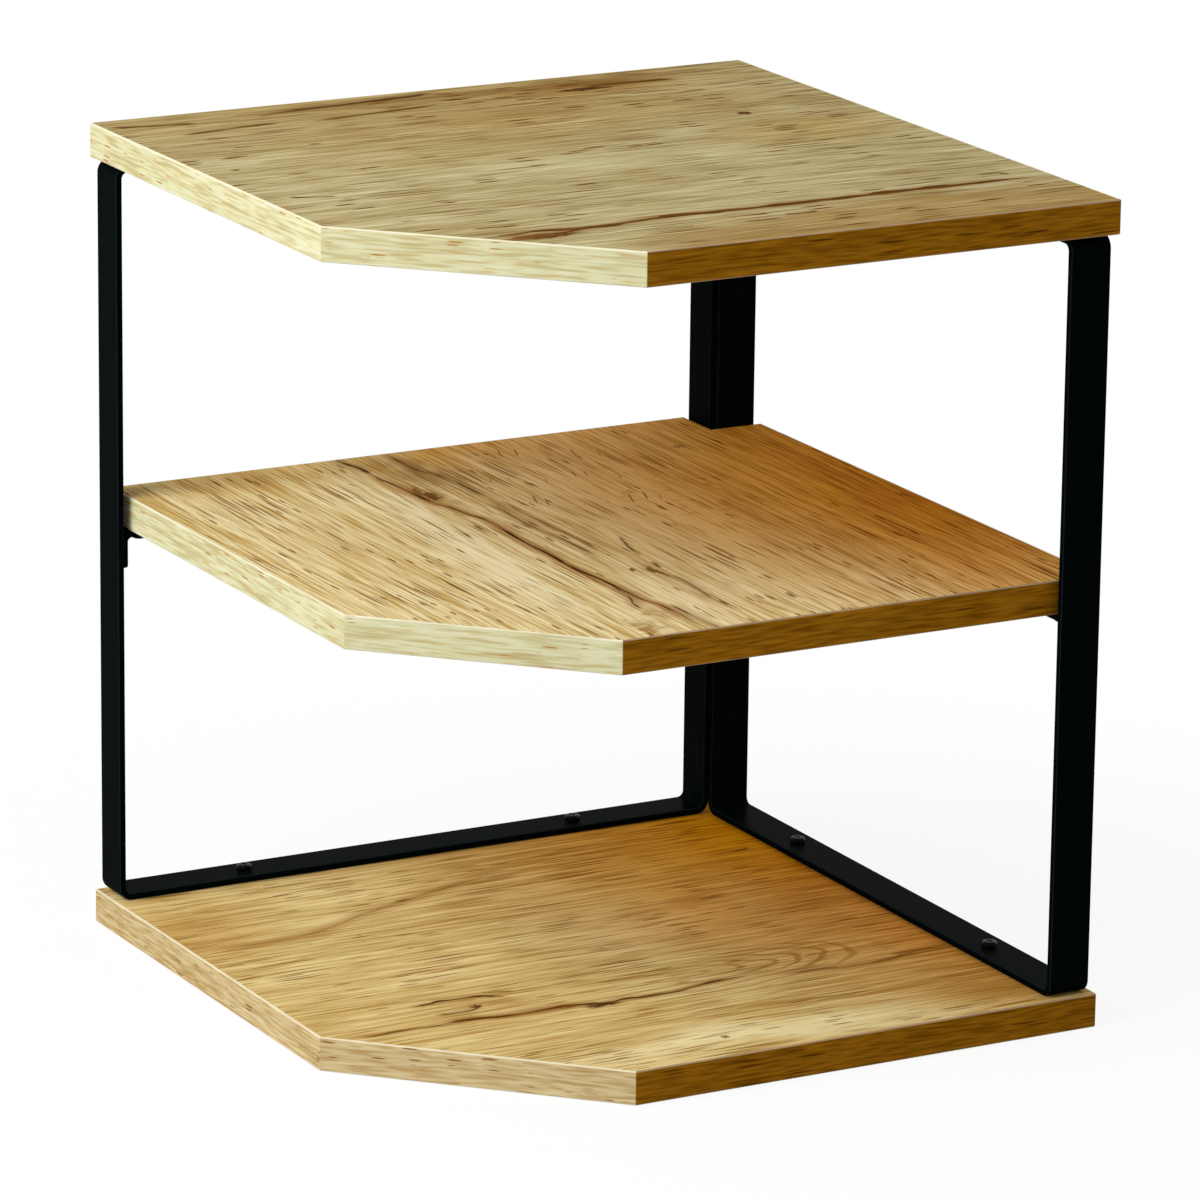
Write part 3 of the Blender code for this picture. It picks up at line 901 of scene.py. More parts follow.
@dataclass(frozen=True)
class BlackZinc:
    """Carbon steel screws, cold headed and rolled, then zinc plated and passivated black.

    The eye gets a dark grey metal with a soft gleam, lighter where the plating is rubbed.
    """

    colour: str = "#030404"
    rubbed_colour: str = "#0A0D0F"
    grain_mm: float = 0.35
    roughness: float = 0.42

    def material(self) -> Material:
        """Make the finish on Object coordinates.

        Returns:
            The material.
        """
        material, add, shader = new_material("black_zinc_plate")
        in_mm = in_millimetres(add, "Object")
        cloud = add("TexNoise", {"Vector": in_mm, "Scale": 1 / self.grain_mm, "Detail": 3.0})
        colour = add("Mix", {0: add("MapRange", (cloud, 0.45, 0.75, 0.0, 0.8)),
                             6: linear(self.colour), 7: linear(self.rubbed_colour)}, data_type="RGBA")
        feed(shader, {
            "Base Color": colour.outputs[2], "Metallic": 0.9,
            "Roughness": add("MapRange", {
                "Value": cloud, "To Min": self.roughness - 0.08, "To Max": self.roughness + 0.12})})
        return material


# The print of each board and strip

FLAT_STREAKS = (
    Streaks(150, 30, 0.14, 1), Streaks(90, 6, 0.13, 1), Streaks(46, 2, 0.18, 1, 0.16),
    Streaks(30, 1, 0.24, 0, 0.16))
LINED_STREAKS = (
    Streaks(170, 16, 0.18, 1), Streaks(120, 4, 0.17, 1), Streaks(60, 1.5, 0.23, 1, 0.16),
    Streaks(36, 0.8, 0.28, 0, 0.16))
STRIP_STREAKS = (
    Streaks(90, 6, 0.14, 1), Streaks(50, 1.8, 0.2, 1), Streaks(14, 1.1, 0.26, 0, 0.16))
TOP_DASHES = (
    Dashes(34, 1.9, 0.27, 0.8, 0.68, "#7E5E2A", 0.1, 0.2),
    Dashes(66, 2.6, 0.28, 0.55, 0.85, "#704E1C", 0.1, 0.45),
    Dashes(34, 4.4, 0.2, 0.28, 1, "#643A08", 0.06, 0.55))
TOP_WASHES = (
    Mark(40, 5, 260, 80, "#D8D0A6", 1, 0.22), Mark(40, 148, 260, 20, "#7E5A26", 1, 0.6, 0.4, turn=-2))
TOP_MARKS = (
    Tint(0, 175, 560, 340, "#F2E2CA", 0.8), Tint(20, 84, 380, 100, "#FCF2E0"),
    Tint(-50, 34, 200, 80, "#F6EEDC"), Tint(112, 20, 150, 90, "#F8E6C4"),
    Tint(66, 136, 130, 50, "#F0D8B4", ragged=0.2), Tint(90, -165, 360, 120, "#E8D2B4", 0.4),
    Mark(-92, -119, 66, 13, "#744410", 0.9, 0.95, 0.5, turn=2),
    Mark(-84, -120, 34, 7, "#4E2A04", 0.7, 1, 0.4, turn=4),
    Crack(((-113, -110), (-99, -111), (-88, -110), (-67, -113), (-45, -111), (-18, -109), (8, -110),
           (34, -109), (60, -109), (87, -108), (125, -108), (160, -109)),
          3, 1, "#5C3806", 7, 0.7, "#8A5A20"),
    Crack(((-104, -116), (-88, -117), (-78, -116), (-64, -113)), 1.8, 1, "#5E3404", 6, 0.6),
    Crack(((2, -120), (10, -121), (16, -121)), 1.4, 0.9, "#6A3E08", 3, 0.4),
    Crack(((20, -126), (29, -127), (37, -126)), 1.8, 0.9, "#6A3E08", 3, 0.4),
    Mark(-38, -155, 24, 6, "#7A4E18", 0.9, 0.75, turn=-6),
    Crack(((-92, 142), (-73, 147), (-47, 149), (8, 156)), 2.6, 1, "#5A3A0E", 8, 0.7, "#7A5622"),
    Crack(((-160, 149), (-135, 143), (-120, 141)), 2.4, 1, "#60400E", 6, 0.6, "#80602A"),
    Crack(((-138, 121), (-102, 126), (-86, 127)), 2, 0.9, "#60400E", 5, 0.5, "#80602A"),
    Crack(((-74, 124), (-52, 126), (-6, 132)), 2, 0.9, "#60400E", 5, 0.5, "#80602A"),
    Crack(((66, 139), (90, 139), (116, 137)), 2.4, 1, "#5C3A0C", 8, 0.7, "#805820"),
    Crack(((-151, -9), (-137, -14), (-130, -15)), 1.8, 1, "#5E3A0E", 3, 0.4),
    Mark(66, 134, 34, 8, "#4E2C06"), Mark(106, 58, 9, 8, "#5A3208", 0.5, 1, 0.2),
    Mark(-147, 48, 6, 4, "#5A380E", 0.6, 0.8, 0.2), Mark(144, -98, 6, 5, "#6A3E0E", 0.6, 0.8, 0.2))
MIDDLE_DASHES = (
    Dashes(40, 1.6, 0.28, 0.85, 0.7, "#946C28", 0.1, 0.2),
    Dashes(80, 2.2, 0.27, 0.65, 0.85, "#7E5214", 0.1, 0.4),
    Dashes(30, 3.6, 0.18, 0.2, 0.9, "#784810", 0.06, 0.5),
    Dashes(18, 5, 0.2, 0.4, 0.75, "#8A5C26", 0.08, zone=Zone(-106, -70, 90, 150)),
    Dashes(44, 3, 0.21, 0.45, 0.8, "#946018", 0.06, turn=-18, zone=Zone(34, 90, 120, 170)),
    Dashes(20, 3, 0.21, 0.5, 0.65, "#A0620E", 0.06, turn=70, zone=Zone(78, 40, 110, 150)))
MIDDLE_WASHES_AND_LIGHT = (
    Mark(-60, 0, 380, 36, "#F8EEC8", 0.9, 0.6, turn=86),
    Mark(-12, -100, 150, 60, "#F4E8C0", 1, 0.35, turn=90),
    # Painted light: this pale wash lightens the middle of the board, which lies in the top board's shadow.
    Mark(50, -10, 360, 110, "#FFECB6", 1, 0.55, turn=90),
    Mark(-100, 20, 300, 50, "#C8A05C", 1, 0.35, 0.4, turn=90),
    Mark(-14, 30, 130, 18, "#AE8648", 1, 0.3, turn=90),
    Mark(-20, 125, 100, 34, "#8E6220", 1, 0.6, 0.4, turn=90))
MIDDLE_MARKS_AND_SHADE = (
    # Painted shade: these four tints darken and warm the right half and the rear, which lie in shade.
    Tint(170, 40, 500, 800, "#F6B440", 0.9), Tint(184, 0, 150, 520, "#E2CE92"),
    Tint(10, 160, 120, 130, "#F2D4A0", ragged=0.2), Tint(-90, 160, 220, 130, "#EEDCBC", ragged=0.2),
    Crack(((-38, 148), (-40, 126), (-39, 112), (-38, 93), (-38, 79), (-35, 67), (-33, 52), (-30, 35),
           (-31, 20), (-32, -1), (-32, -22), (-33, -44), (-32, -62), (-31, -83), (-31, -100), (-28, -114),
           (-28, -134), (-28, -158)), 1.2, 1, "#3A2004", 5.5, 0.85, "#A0682A"),
    Crack(((-43, 166), (-42, 153), (-40, 143), (-40, 132)), 1.2, 1, "#44280A", 5, 0.6),
    Crack(((-32, -78), (-34, -96), (-37, -106), (-38, -116)), 0.8, 0.9, "#5A3206", 5, 0.5),
    Crack(((-24, -112), (-24, -134), (-22, -158)), 1.2, 0.9, "#6A3A0A", 5, 0.5),
    Crack(((-18, 164), (-18, 147), (-18, 133), (-13, 113), (-12, 80), (-10, 68)),
          1.2, 0.8, "#5E3A0C", 7, 0.6, "#8A5E24"),
    Crack(((-15, 64), (-17, 34), (-17, 18), (-15, -4), (-16, -38)), 0.8, 0.9, "#50350E", 4, 0.4),
    Crack(((-8, 70), (-10, 30), (-9, -2), (-10, -30)), 0.8, 0.8, "#64481A", 3, 0.4),
    Crack(((9, -8), (5, -24), (1, -44)), 0.9, 0.8, "#6A4010", 3, 0.3),
    Mark(-33, 86, 20, 7, "#3C2000", 0.5, turn=84), Mark(-35, 97, 26, 5, "#6A4010", 0.8, 0.8, turn=78),
    Mark(-32, 84, 54, 18, "#96642A", 1, 0.6, turn=88),
    Mark(-4, -66, 26, 5, "#6A3A0A", 0.6, 0.9, 0.5, turn=96),
    Mark(-12, -59, 8, 3, "#6A3E10", 0.6, 0.9, turn=80), Mark(1, -57, 14, 2.5, "#6A3E10", 0.6, 0.9, turn=84),
    Crack(((-2, -72), (-1, -84), (-2, -100), (-4, -116)), 1.1, 0.6, "#7A4818", 5, 0.4),
    Mark(-3, -66, 56, 20, "#A06A24", 1, 0.3, 0.4, turn=92),
    Mark(-50, -142, 34, 16, "#96601E", 0.9, 0.75, 0.5, turn=76),
    Mark(-36, -124, 30, 16, "#9C6830", 1, 0.55, 0.5, turn=110), Mark(108, 116, 10, 8, "#6A3E10", 0.8, 0.6))
BOTTOM_DASHES = (
    Dashes(36, 1.9, 0.27, 0.8, 0.66, "#8C6828", 0.1, 0.2),
    Dashes(66, 2.6, 0.26, 0.55, 0.8, "#7C541A", 0.1, 0.45),
    Dashes(34, 4, 0.18, 0.2, 0.7, "#7A4C14", 0.06, 0.55),
    Dashes(10, 9, 0.18, 0.5, 0.45, "#80561E", 0.06, turn=68, zone=Zone(-92, 34, 100, 60)))
BOTTOM_WASHES_AND_LIGHT = (
    # Painted light: the first wash lightens the board along its front edge.
    Mark(10, -144, 300, 44, "#F2E6B2", 1, 0.75, turn=-2), Mark(40, 0, 160, 110, "#F0D09C", 1, 0.4),
    Mark(-80, 76, 120, 20, "#E8D296", 1, 0.6, turn=8))
BOTTOM_MARKS_AND_SHADE = (
    # Painted shade: these four tints darken and warm the right half, the front right and the left rear.
    Tint(175, 120, 520, 560, "#FFC200", 0.9), Tint(165, -60, 300, 300, "#F8C050", 1, 0.8),
    Tint(130, -138, 130, 70, "#DCC8A0"), Tint(-155, 90, 110, 140, "#EAD8BC", ragged=0.2),
    Arches(20, -61, 176, 54, "#8A520E", 6, 0.55),
    Crack(((-160, 64), (-120, 60), (-69, 77), (-32, 90), (16, 105)),
          1.2, 0.45, "#7A5018", 8, 0.55, "#9A6A24"),
    Crack(((-149, -73), (-139, -73), (-127, -72), (-112, -73), (-105, -73)), 1.1, 0.9, "#744208", 4, 0.5),
    Crack(((-112, -73), (-96, -72), (-84, -74), (-73, -75), (-64, -75), (-50, -75), (-38, -77)),
          1.8, 1, "#643A06", 6, 0.8, "#8E5C14"),
    Crack(((-56, -75), (-38, -77), (-31, -79), (-23, -78), (-14, -79), (-7, -79), (1, -79), (9, -77),
           (18, -75), (27, -74), (40, -74)), 1.3, 1, "#502C04", 5, 0.7, "#8A5610"),
    Crack(((-112, -47), (-100, -46), (-97, -45), (-88, -46), (-79, -46), (-74, -48), (-66, -54)),
          1.3, 1, "#4A2C08", 5, 0.5),
    Crack(((-106, -61), (-92, -62), (-85, -60), (-81, -55)), 1, 0.9, "#5A380A", 4, 0.4),
    Crack(((-76, -43), (-72, -44), (-60, -47)), 0.9, 0.8, "#64420E", 3, 0.3),
    Crack(((146, -75), (121, -78), (94, -83), (69, -80), (50, -79)),
          1.6, 0.6, "#744608", 6, 0.4, "#8A5610"),
    Mark(-35, -80, 26, 6, "#4C2A04", 0.7, 0.95, turn=-2), Mark(-85, -58, 8, 6, "#4A2A06", 0.6, 0.95),
    Mark(-84, -54, 50, 24, "#9A6A24", 1, 0.4), Mark(-1, -14, 16, 7, "#7A501C", 0.9, 0.5, 0.4, turn=-8),
    Mark(-47, 86, 12, 4, "#6A430E", 0.7, 0.7, turn=6), Mark(126, 84, 16, 4, "#5A3208", 0.7, 0.7, turn=6),
    Mark(-9, -140, 5, 5, "#5A3410", 0.6, 0.8, 0.2))
STRIP_DASHES = (
    Dashes(15, 1.3, 0.32, 0.75, 0.65, "#CCA268", 0.1),
    Dashes(17, 1.9, 0.24, 0.3, 0.9, "#AE7A40", 0.08, 0.35))
SHADED_TAN_DASHES = (
    Dashes(15, 1.3, 0.32, 0.75, 0.65, "#AC844E", 0.1),
    Dashes(17, 1.9, 0.25, 0.34, 0.9, "#845426", 0.08, 0.35))
SHADED_SIDE_DASHES = (
    Dashes(20, 1.4, 0.32, 0.75, 0.65, "#6E460C", 0.1),
    Dashes(34, 2, 0.24, 0.36, 0.8, "#4A2A06", 0.08, 0.35))
# Each strip's print, and how much of its own pale plastic shows where it is scraped: that pale
# line is also a painted highlight along the arris, least on the deep strip of the shaded sides.
STRIPS = {
    "pale": (OakPrint(("#DAD8B6", "#CCC89C", "#B6A472"), 4.4, STRIP_STREAKS, STRIP_DASHES, 2.5), 0.55),
    # The tan strip, darker than the pale one, is painted shade for the bottom board's sides.
    "tan": (OakPrint(("#D8C89A", "#C8B080", "#AE8E56"), 5.2, STRIP_STREAKS, SHADED_TAN_DASHES, 2.5), 0.6),
    # The deep strip's darker print is painted shade for the right sides, which face away from the soft box.
    "deep": (OakPrint(("#A87014", "#92600E", "#744604"), 9.1, STRIP_STREAKS, SHADED_SIDE_DASHES, 2.5), 0.25),
}
# Each board's print, and the strip that its sides carry but for the right one, which carries the
# deep strip as painted shade.
BOARDS = {
    "bottom_board": (OakPrint(
        ("#E8D49A", "#D0B474", "#AA8440"), 2.3, FLAT_STREAKS, BOTTOM_DASHES,
        washes=BOTTOM_WASHES_AND_LIGHT, marks=BOTTOM_MARKS_AND_SHADE), "tan"),
    "middle_board": (OakPrint(
        ("#F6E8BA", "#E2CC94", "#BE9A52"), 6.2, LINED_STREAKS, MIDDLE_DASHES, grain=Grain.ALONG_Y,
        washes=MIDDLE_WASHES_AND_LIGHT, marks=MIDDLE_MARKS_AND_SHADE), "pale"),
    "top_board": (OakPrint(
        ("#CEC49A", "#B3A374", "#917B48"), 8.6, FLAT_STREAKS, TOP_DASHES,
        washes=TOP_WASHES, marks=TOP_MARKS), "pale"),
}


# Boards

@dataclass(frozen=True)
class BoardSizes:
    """The sizes that all three boards share."""

    band: float = 1.0 * MM
    band_arris: float = 0.6 * MM
    core_gap: float = 0.03 * MM
    core_arris: float = 0.1 * MM
    corner_radius: float = 1.5 * MM
    corner_steps: int = 12
    arris_steps: int = 6
    print_step: float = 0.37
    print_turns: float = 4.0


@dataclass
class Outline:
    """A board's plan: its corners, anticlockwise, and which of its sides carry a band.

    A side runs from its own corner to the next, and a corner between two banded sides is round.
    """

    corners: np.ndarray
    banded: list[bool]
    sizes: BoardSizes

    @property
    def outward(self) -> np.ndarray:
        """Each side's outward normal."""
        along = unit(np.roll(self.corners, -1, 0) - self.corners)
        return np.stack([along[:, 1], -along[:, 0]], -1)

    def turn(self, index: int, inset: float, side: int) -> tuple[np.ndarray, np.ndarray]:
        """Go round a corner, moved in from its banded sides.

        A round corner is an arc that touches both sides: its centre lies on both inner parallels at
        the radius, and its normals turn evenly from side to side. A sharp corner is one point.

        Args:
            index: The corner's number.
            inset: How far it is moved in.
            side: The side whose normal a sharp corner gets.

        Returns:
            The points and their outward normals.
        """
        before, here = self.outward[index - 1], self.outward[index]
        corner, radius = self.corners[index], self.sizes.corner_radius
        if not (self.banded[index - 1] and self.banded[index]):
            moved = before * self.banded[index - 1] + here * self.banded[index]
            return (corner - moved * inset)[None, :], self.outward[side][None, :]
        start = math.atan2(before[1], before[0])
        sweep = (math.atan2(here[1], here[0]) - start) % (2 * math.pi)
        centre = corner - (before + here) * radius / (1 + before @ here)
        normals = arc((0.0, 0.0), 1.0, start, sweep, self.sizes.corner_steps)
        return centre + normals * (radius - inset), normals

    def core_line(self, inset: float) -> np.ndarray:
        """Draw the core's outline, moved in from the board's banded sides."""
        return np.vstack([self.turn(index, inset, index)[0] for index in range(len(self.corners))])

    def band_line(self, index: int) -> tuple[np.ndarray, np.ndarray]:
        """Draw the outer line of one side's band, from half of one corner to half of the next.

        Args:
            index: The side's number.

        Returns:
            The line's points and their outward normals.
        """
        half = self.sizes.corner_steps // 2 + 1
        ends = zip(self.turn(index, 0.0, index),
                   self.turn((index + 1) % len(self.corners), 0.0, index))
        return tuple(np.vstack([first[-half:], last[:half]]) for first, last in ends)


@dataclass
class Board:
    """One board: a printed chipboard core and the glued strip on each of its outer sides."""

    name: str
    sizes: BoardSizes
    finish: Material
    band_finish: dict[str, Material]
    raw_finish: Material
    drills: list[Surface]

    def outline(self) -> tuple[Outline, list[str]]:
        """Work out the board's plan from the CAD's bands.

        Returns:
            The outline, and each side's name, with the notch's two sides last where there is one.
        """
        boxes = {side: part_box(f"{self.name}_{side}_band") for side in BAND_SIDES}
        low_x, low_y = boxes["left"][0].x, boxes["right"][0].y
        high_x, high_y = boxes["right_wall"][1].x, boxes["left_wall"][1].y
        notch_x, notch_y = boxes["left_wall"][1].x, boxes["right_wall"][1].y
        corners = {
            "left": (low_x, high_y), "cut": (low_x, (boxes["cut"][1].y + boxes["left"][0].y) / 2),
            "right": ((boxes["cut"][1].x + boxes["right"][0].x) / 2, low_y),
            "right_wall": (high_x, low_y)}
        if notch_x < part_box(self.name)[1].x - self.sizes.band * 4:
            corners["notch_right"] = (high_x, notch_y)
            corners["notch_left"] = (notch_x, notch_y)
            high_x = notch_x
        corners["left_wall"] = (high_x, high_y)
        banded = [not name.startswith("notch") for name in corners]
        return Outline(np.array(list(corners.values())), banded, self.sizes), list(corners)

    @property
    def levels(self) -> tuple[float, float]:
        """The heights of its underside and of its upper face."""
        low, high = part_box(self.name)
        return low.z, high.z

    def build(self) -> None:
        """Build the core and its bands in their places."""
        outline, names = self.outline()
        self.build_core(outline)
        for index, side in enumerate(names):
            if outline.banded[index]:
                self.build_band(outline, index, side)

    def build_core(self, outline: Outline) -> None:
        """Build the core: its outline carried up from face to face, with a tiny arris at each.

        Args:
            outline: The board's plan.
        """
        bottom, top = self.levels
        inset, arris = self.sizes.band + self.sizes.core_gap, self.sizes.core_arris
        levels = []
        for height, further in ((bottom, arris), (bottom + arris, 0), (top - arris, 0), (top, arris)):
            line = outline.core_line(inset + further)
            levels.append(np.column_stack([line, np.full(len(line), height)]))
        mesh = drilled(carried(np.array(levels)), self.name + "_core", self.drills)
        finish_piece(self.name + "_core", mesh, self.finish, self.name)
        mesh.materials.append(self.raw_finish)
        normals = np.empty(len(mesh.polygons) * 3)
        mesh.polygons.foreach_get("normal", normals)
        is_side = np.abs(normals.reshape(-1, 3)[:, 2]) < 0.5
        mesh.polygons.foreach_set("material_index", is_side.astype(np.int32))

    def build_band(self, outline: Outline, index: int, side: str) -> None:
        """Build one band: a flat strip's section, round at its two outer arrises, along its side.

        Args:
            outline: The board's plan.
            index: The side's number.
            side: The side's name.
        """
        (bottom, top), (line, outward) = self.levels, outline.band_line(index)
        radius, steps, back = self.sizes.band_arris, self.sizes.arris_steps, -self.sizes.band
        lower = arc((-radius, bottom + radius), radius, -QUARTER_TURN, QUARTER_TURN, steps)
        upper = arc((-radius, top - radius), radius, 0, QUARTER_TURN, steps)
        flat = [[0, bottom + radius + FLAT_SUPPORT], [0, top - radius - FLAT_SUPPORT]]
        section = np.vstack([lower, flat, upper, [[back, top], [back, bottom]]])
        around = closed_lengths(section)
        middle = (around[steps] + around[steps + 3]) / 2
        flat_places = line[:, None, :] + outward[:, None, :] * section[None, :, :1]
        heights = np.broadcast_to(section[:, 1], flat_places.shape[:2])[..., None]
        begin = self.sizes.print_step * index + bottom * self.sizes.print_turns
        shape = carried(np.concatenate([flat_places, heights], -1), False,
                        begin + lengths(line), around - middle)
        node = f"{self.name}_{side}_band"
        finish_piece(node + "_strip", shape.mesh(node), self.band_finish[side], node)


# Frames

@dataclass(frozen=True)
class BarSizes:
    """The flat bar that the frames are bent from."""

    thickness: float = 3.0 * MM
    edge_radius: float = 0.45 * MM
    rear_reach: float = 0.38 * MM
    bend_radius: float = 6.0 * MM
    bend_steps: int = 20
    edge_steps: int = 6
    wood_hole: float = 1.9 * MM
    tapped_hole: float = 2.3 * MM
    post_floor: float = 0.6 * MM


@dataclass(frozen=True)
class BracketSizes:
    """A shelf bracket, stamped and bent from strip."""

    thickness: float = 3.0 * MM
    bend_radius: float = 5.0 * MM
    corner_radius: float = 2.0 * MM
    edge_radius: float = 0.4 * MM
    bend_steps: int = 18
    end_steps: int = 8
    edge_steps: int = 4


def swept(side: Side, line: np.ndarray, out: np.ndarray, offsets: np.ndarray,
          across: np.ndarray) -> np.ndarray:
    """Carry a section along a line in a frame's upright plane.

    Args:
        side: The frame's side.
        line: The line's points, along the frame and up.
        out: The line's outward normals.
        offsets: How far out each of the section's points is.
        across: Where each of them is across the frame.

    Returns:
        The section's points at each station.
    """
    spots = line[:, None] + out[:, None] * offsets[..., None]
    stations = np.empty((*spots.shape[:2], 3))
    stations[..., side.along], stations[..., 2] = spots[..., 0], spots[..., 1]
    stations[..., side.across] = across
    return stations


@dataclass
class FlatBarFrame:
    """One closed loop of flat bar, bent at its corners and drilled for its screws."""

    side: Side
    sizes: BarSizes
    finish: Material
    drills: list[Surface]

    def arris_highlight_share(self, section: np.ndarray) -> np.ndarray:
        """Give 1 at the middle of each of the section's round arrises, falling to 0 at its ends: the
        share of the highlight that the powder coat paints there.

        Args:
            section: The section's points.

        Returns:
            The values, with the first one again at the end.
        """
        around = closed_lengths(section)
        arc_points = len(section) // 4
        middles = around[arc_points // 2::arc_points][:4]
        away = np.abs(around[:, None] - middles[None, :])
        away = np.minimum(away, around[-1] - away).min(1)
        return np.clip(1 - away / (self.sizes.edge_radius * math.pi / 4), 0, 1)

    def build(self) -> None:
        """Carry the bar's section round a rectangle with round corners, and drill it.

        In the wall corner the two loops stand closer than the CAD's gap for contact, and still apart.
        """
        node = self.side.value + "_frame"
        low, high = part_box(node)
        along, across = self.side.along, self.side.across
        high[along] += self.sizes.rear_reach
        low[across] -= self.sizes.rear_reach
        half = self.sizes.thickness / 2
        path = rounded_rectangle(
            np.array([low[along] + half, low.z + half]), np.array([high[along] - half, high.z - half]),
            self.sizes.bend_radius - half, self.sizes.bend_steps)
        travel = unit(unit(np.roll(path, -1, 0) - path) + unit(path - np.roll(path, 1, 0)))
        out = np.stack([travel[:, 1], -travel[:, 0]], -1)
        corner = np.array([half, (high[across] - low[across]) / 2])
        section = rounded_rectangle(-corner, corner, self.sizes.edge_radius, self.sizes.edge_steps)
        stations = swept(self.side, path, out, section[None, :, 0],
                         (low[across] + high[across]) / 2 + section[:, 1])
        shape = carried(stations, True, closed_lengths(stations[:, 0]), self.arris_highlight_share(section))
        mesh = drilled(shape, node + "_loop", self.drills)
        finish_piece(node + "_loop", mesh, self.finish, node)


@dataclass
class ShelfBracket:
    """One angle bracket, which holds a corner of the middle board to its post."""

    side: Side
    end: End
    sizes: BracketSizes
    finish: Material
    drills: list[Surface]

    def end_inset(self, from_end: np.ndarray, radius: float) -> np.ndarray:
        """Give how far a round corner draws in: radius - root(radius^2 - what is left of it^2)."""
        left = np.clip(radius - from_end, 0, radius)
        return radius - np.sqrt(radius ** 2 - left ** 2)

    def build(self) -> None:
        """Carry a flat section down one leg, round the bend and along the other leg.

        Towards each end the section's width and thickness draw in along a quarter circle, which
        rounds the leg's corners and its edge.
        """
        node = f"{self.end.name.lower()}_{self.side.value}_shelf_bracket"
        low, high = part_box(node)
        along, across, sizes = self.side.along, self.side.across, self.sizes
        half, radius, steps = sizes.thickness / 2, sizes.bend_radius, sizes.end_steps
        half_width = (high[across] - low[across]) / 2
        near_end = (1 - np.cos(np.linspace(0, QUARTER_TURN, steps))) * sizes.corner_radius
        bend = arc((radius, -radius), radius - half, math.pi, -QUARTER_TURN, sizes.bend_steps)
        line = np.vstack([
            np.column_stack([np.full(steps, half), low.z - high.z + near_end]), bend,
            np.column_stack([high[along] - low[along] - near_end[::-1], np.full(steps, -half)])])
        normals = np.vstack([
            np.tile([-1.0, 0.0], (steps, 1)), (bend - [radius, -radius]) / (radius - half),
            np.tile([0.0, 1.0], (steps, 1))])
        from_end = np.concatenate([near_end, np.full(len(bend), radius), near_end[::-1]])
        thick = (half - self.end_inset(from_end, sizes.edge_radius)) / half
        wide = (half_width - self.end_inset(from_end, sizes.corner_radius)) / half_width
        corner = np.array([half, half_width])
        section = rounded_rectangle(-corner, corner, sizes.edge_radius, sizes.edge_steps)
        inward = np.array([self.end.value, 1.0])
        post = low[along] if self.end is End.FRONT else high[along]
        stations = swept(self.side, [post, high.z] + inward * line, inward * normals,
                         section[:, 0] * thick[:, None],
                         (low[across] + high[across]) / 2 + section[:, 1] * wide[:, None])
        mesh = drilled(carried(stations), node + "_angle", self.drills)
        finish_piece(node + "_angle", mesh, self.finish, node)


# Screws

def pan_profile(length: float) -> np.ndarray:
    """Draw a pan-head wood screw from the middle of its head down to its point.

    The head is flat on top, with a quarter ellipse down to its rim. The shank keeps the thread's
    root radius and then narrows evenly to a point.

    Args:
        length: The length below the head.

    Returns:
        The profile's radii and heights. Zero is the underside of the head.
    """
    flat, rim, head, rim_height = 2.0 * MM, 3.5 * MM, 2.2 * MM, 1.0 * MM
    root, point, under, fillet = 1.2 * MM, 3.5 * MM, 0.12 * MM, 0.25 * MM
    turn = np.linspace(0, QUARTER_TURN, 10)
    dome = np.column_stack([flat + (rim - flat) * np.sin(turn),
                            rim_height + (head - rim_height) * np.cos(turn)])
    top = [[AXIS_RING, head], [flat / 2, head], [flat - FLAT_SUPPORT, head]]
    tail = [[rim, under], [rim - under, 0], [root + fillet, 0], [root, -fillet],
            [root, point - length], [AXIS_RING, -length]]
    return np.vstack([top, dome, tail])


def countersunk_profile(length: float) -> np.ndarray:
    """Draw a countersunk machine screw from the face of its head down to its end.

    Args:
        length: The whole length.

    Returns:
        The profile's radii and heights. Zero is the face of the head.
    """
    flat, head, rim, root, crest = 1.5 * MM, 3.6 * MM, 0.3 * MM, 1.55 * MM, 1.95 * MM
    tip, arris, neck = 0.4 * MM, 0.08 * MM, 0.1 * MM
    return np.array([
        [AXIS_RING, 0], [flat, 0], [head - arris, 0], [head, -arris], [head, -rim],
        [crest, -rim - (head - crest)], [root, -rim - (head - crest) - neck],
        [root, -length + tip], [root - tip / 2, -length], [AXIS_RING, -length]])


@dataclass(frozen=True)
class ScrewKind:
    """A kind of screw: its rolled thread, its profile, the height of its head and its cross recess."""

    profile: Callable[[float], np.ndarray]
    crest: float
    root: float
    pitch: float
    thread_start: float
    tip_length: float
    head_height: float
    columns: int = 40
    rows_per_turn: int = 8
    recess_length: float = 3.8 * MM
    recess_width: float = 1.0 * MM
    recess_depth: float = 1.3 * MM
    recess_taper: float = 0.35
    recess_end: float = 0.3


PAN_HEAD = ScrewKind(pan_profile, 1.75 * MM, 1.2 * MM, 1.5 * MM, -1.2 * MM, 1.6 * MM, 2.2 * MM)
COUNTERSUNK = ScrewKind(countersunk_profile, 1.95 * MM, 1.55 * MM, 0.7 * MM, -2.4 * MM, 0.4 * MM, 0.0)


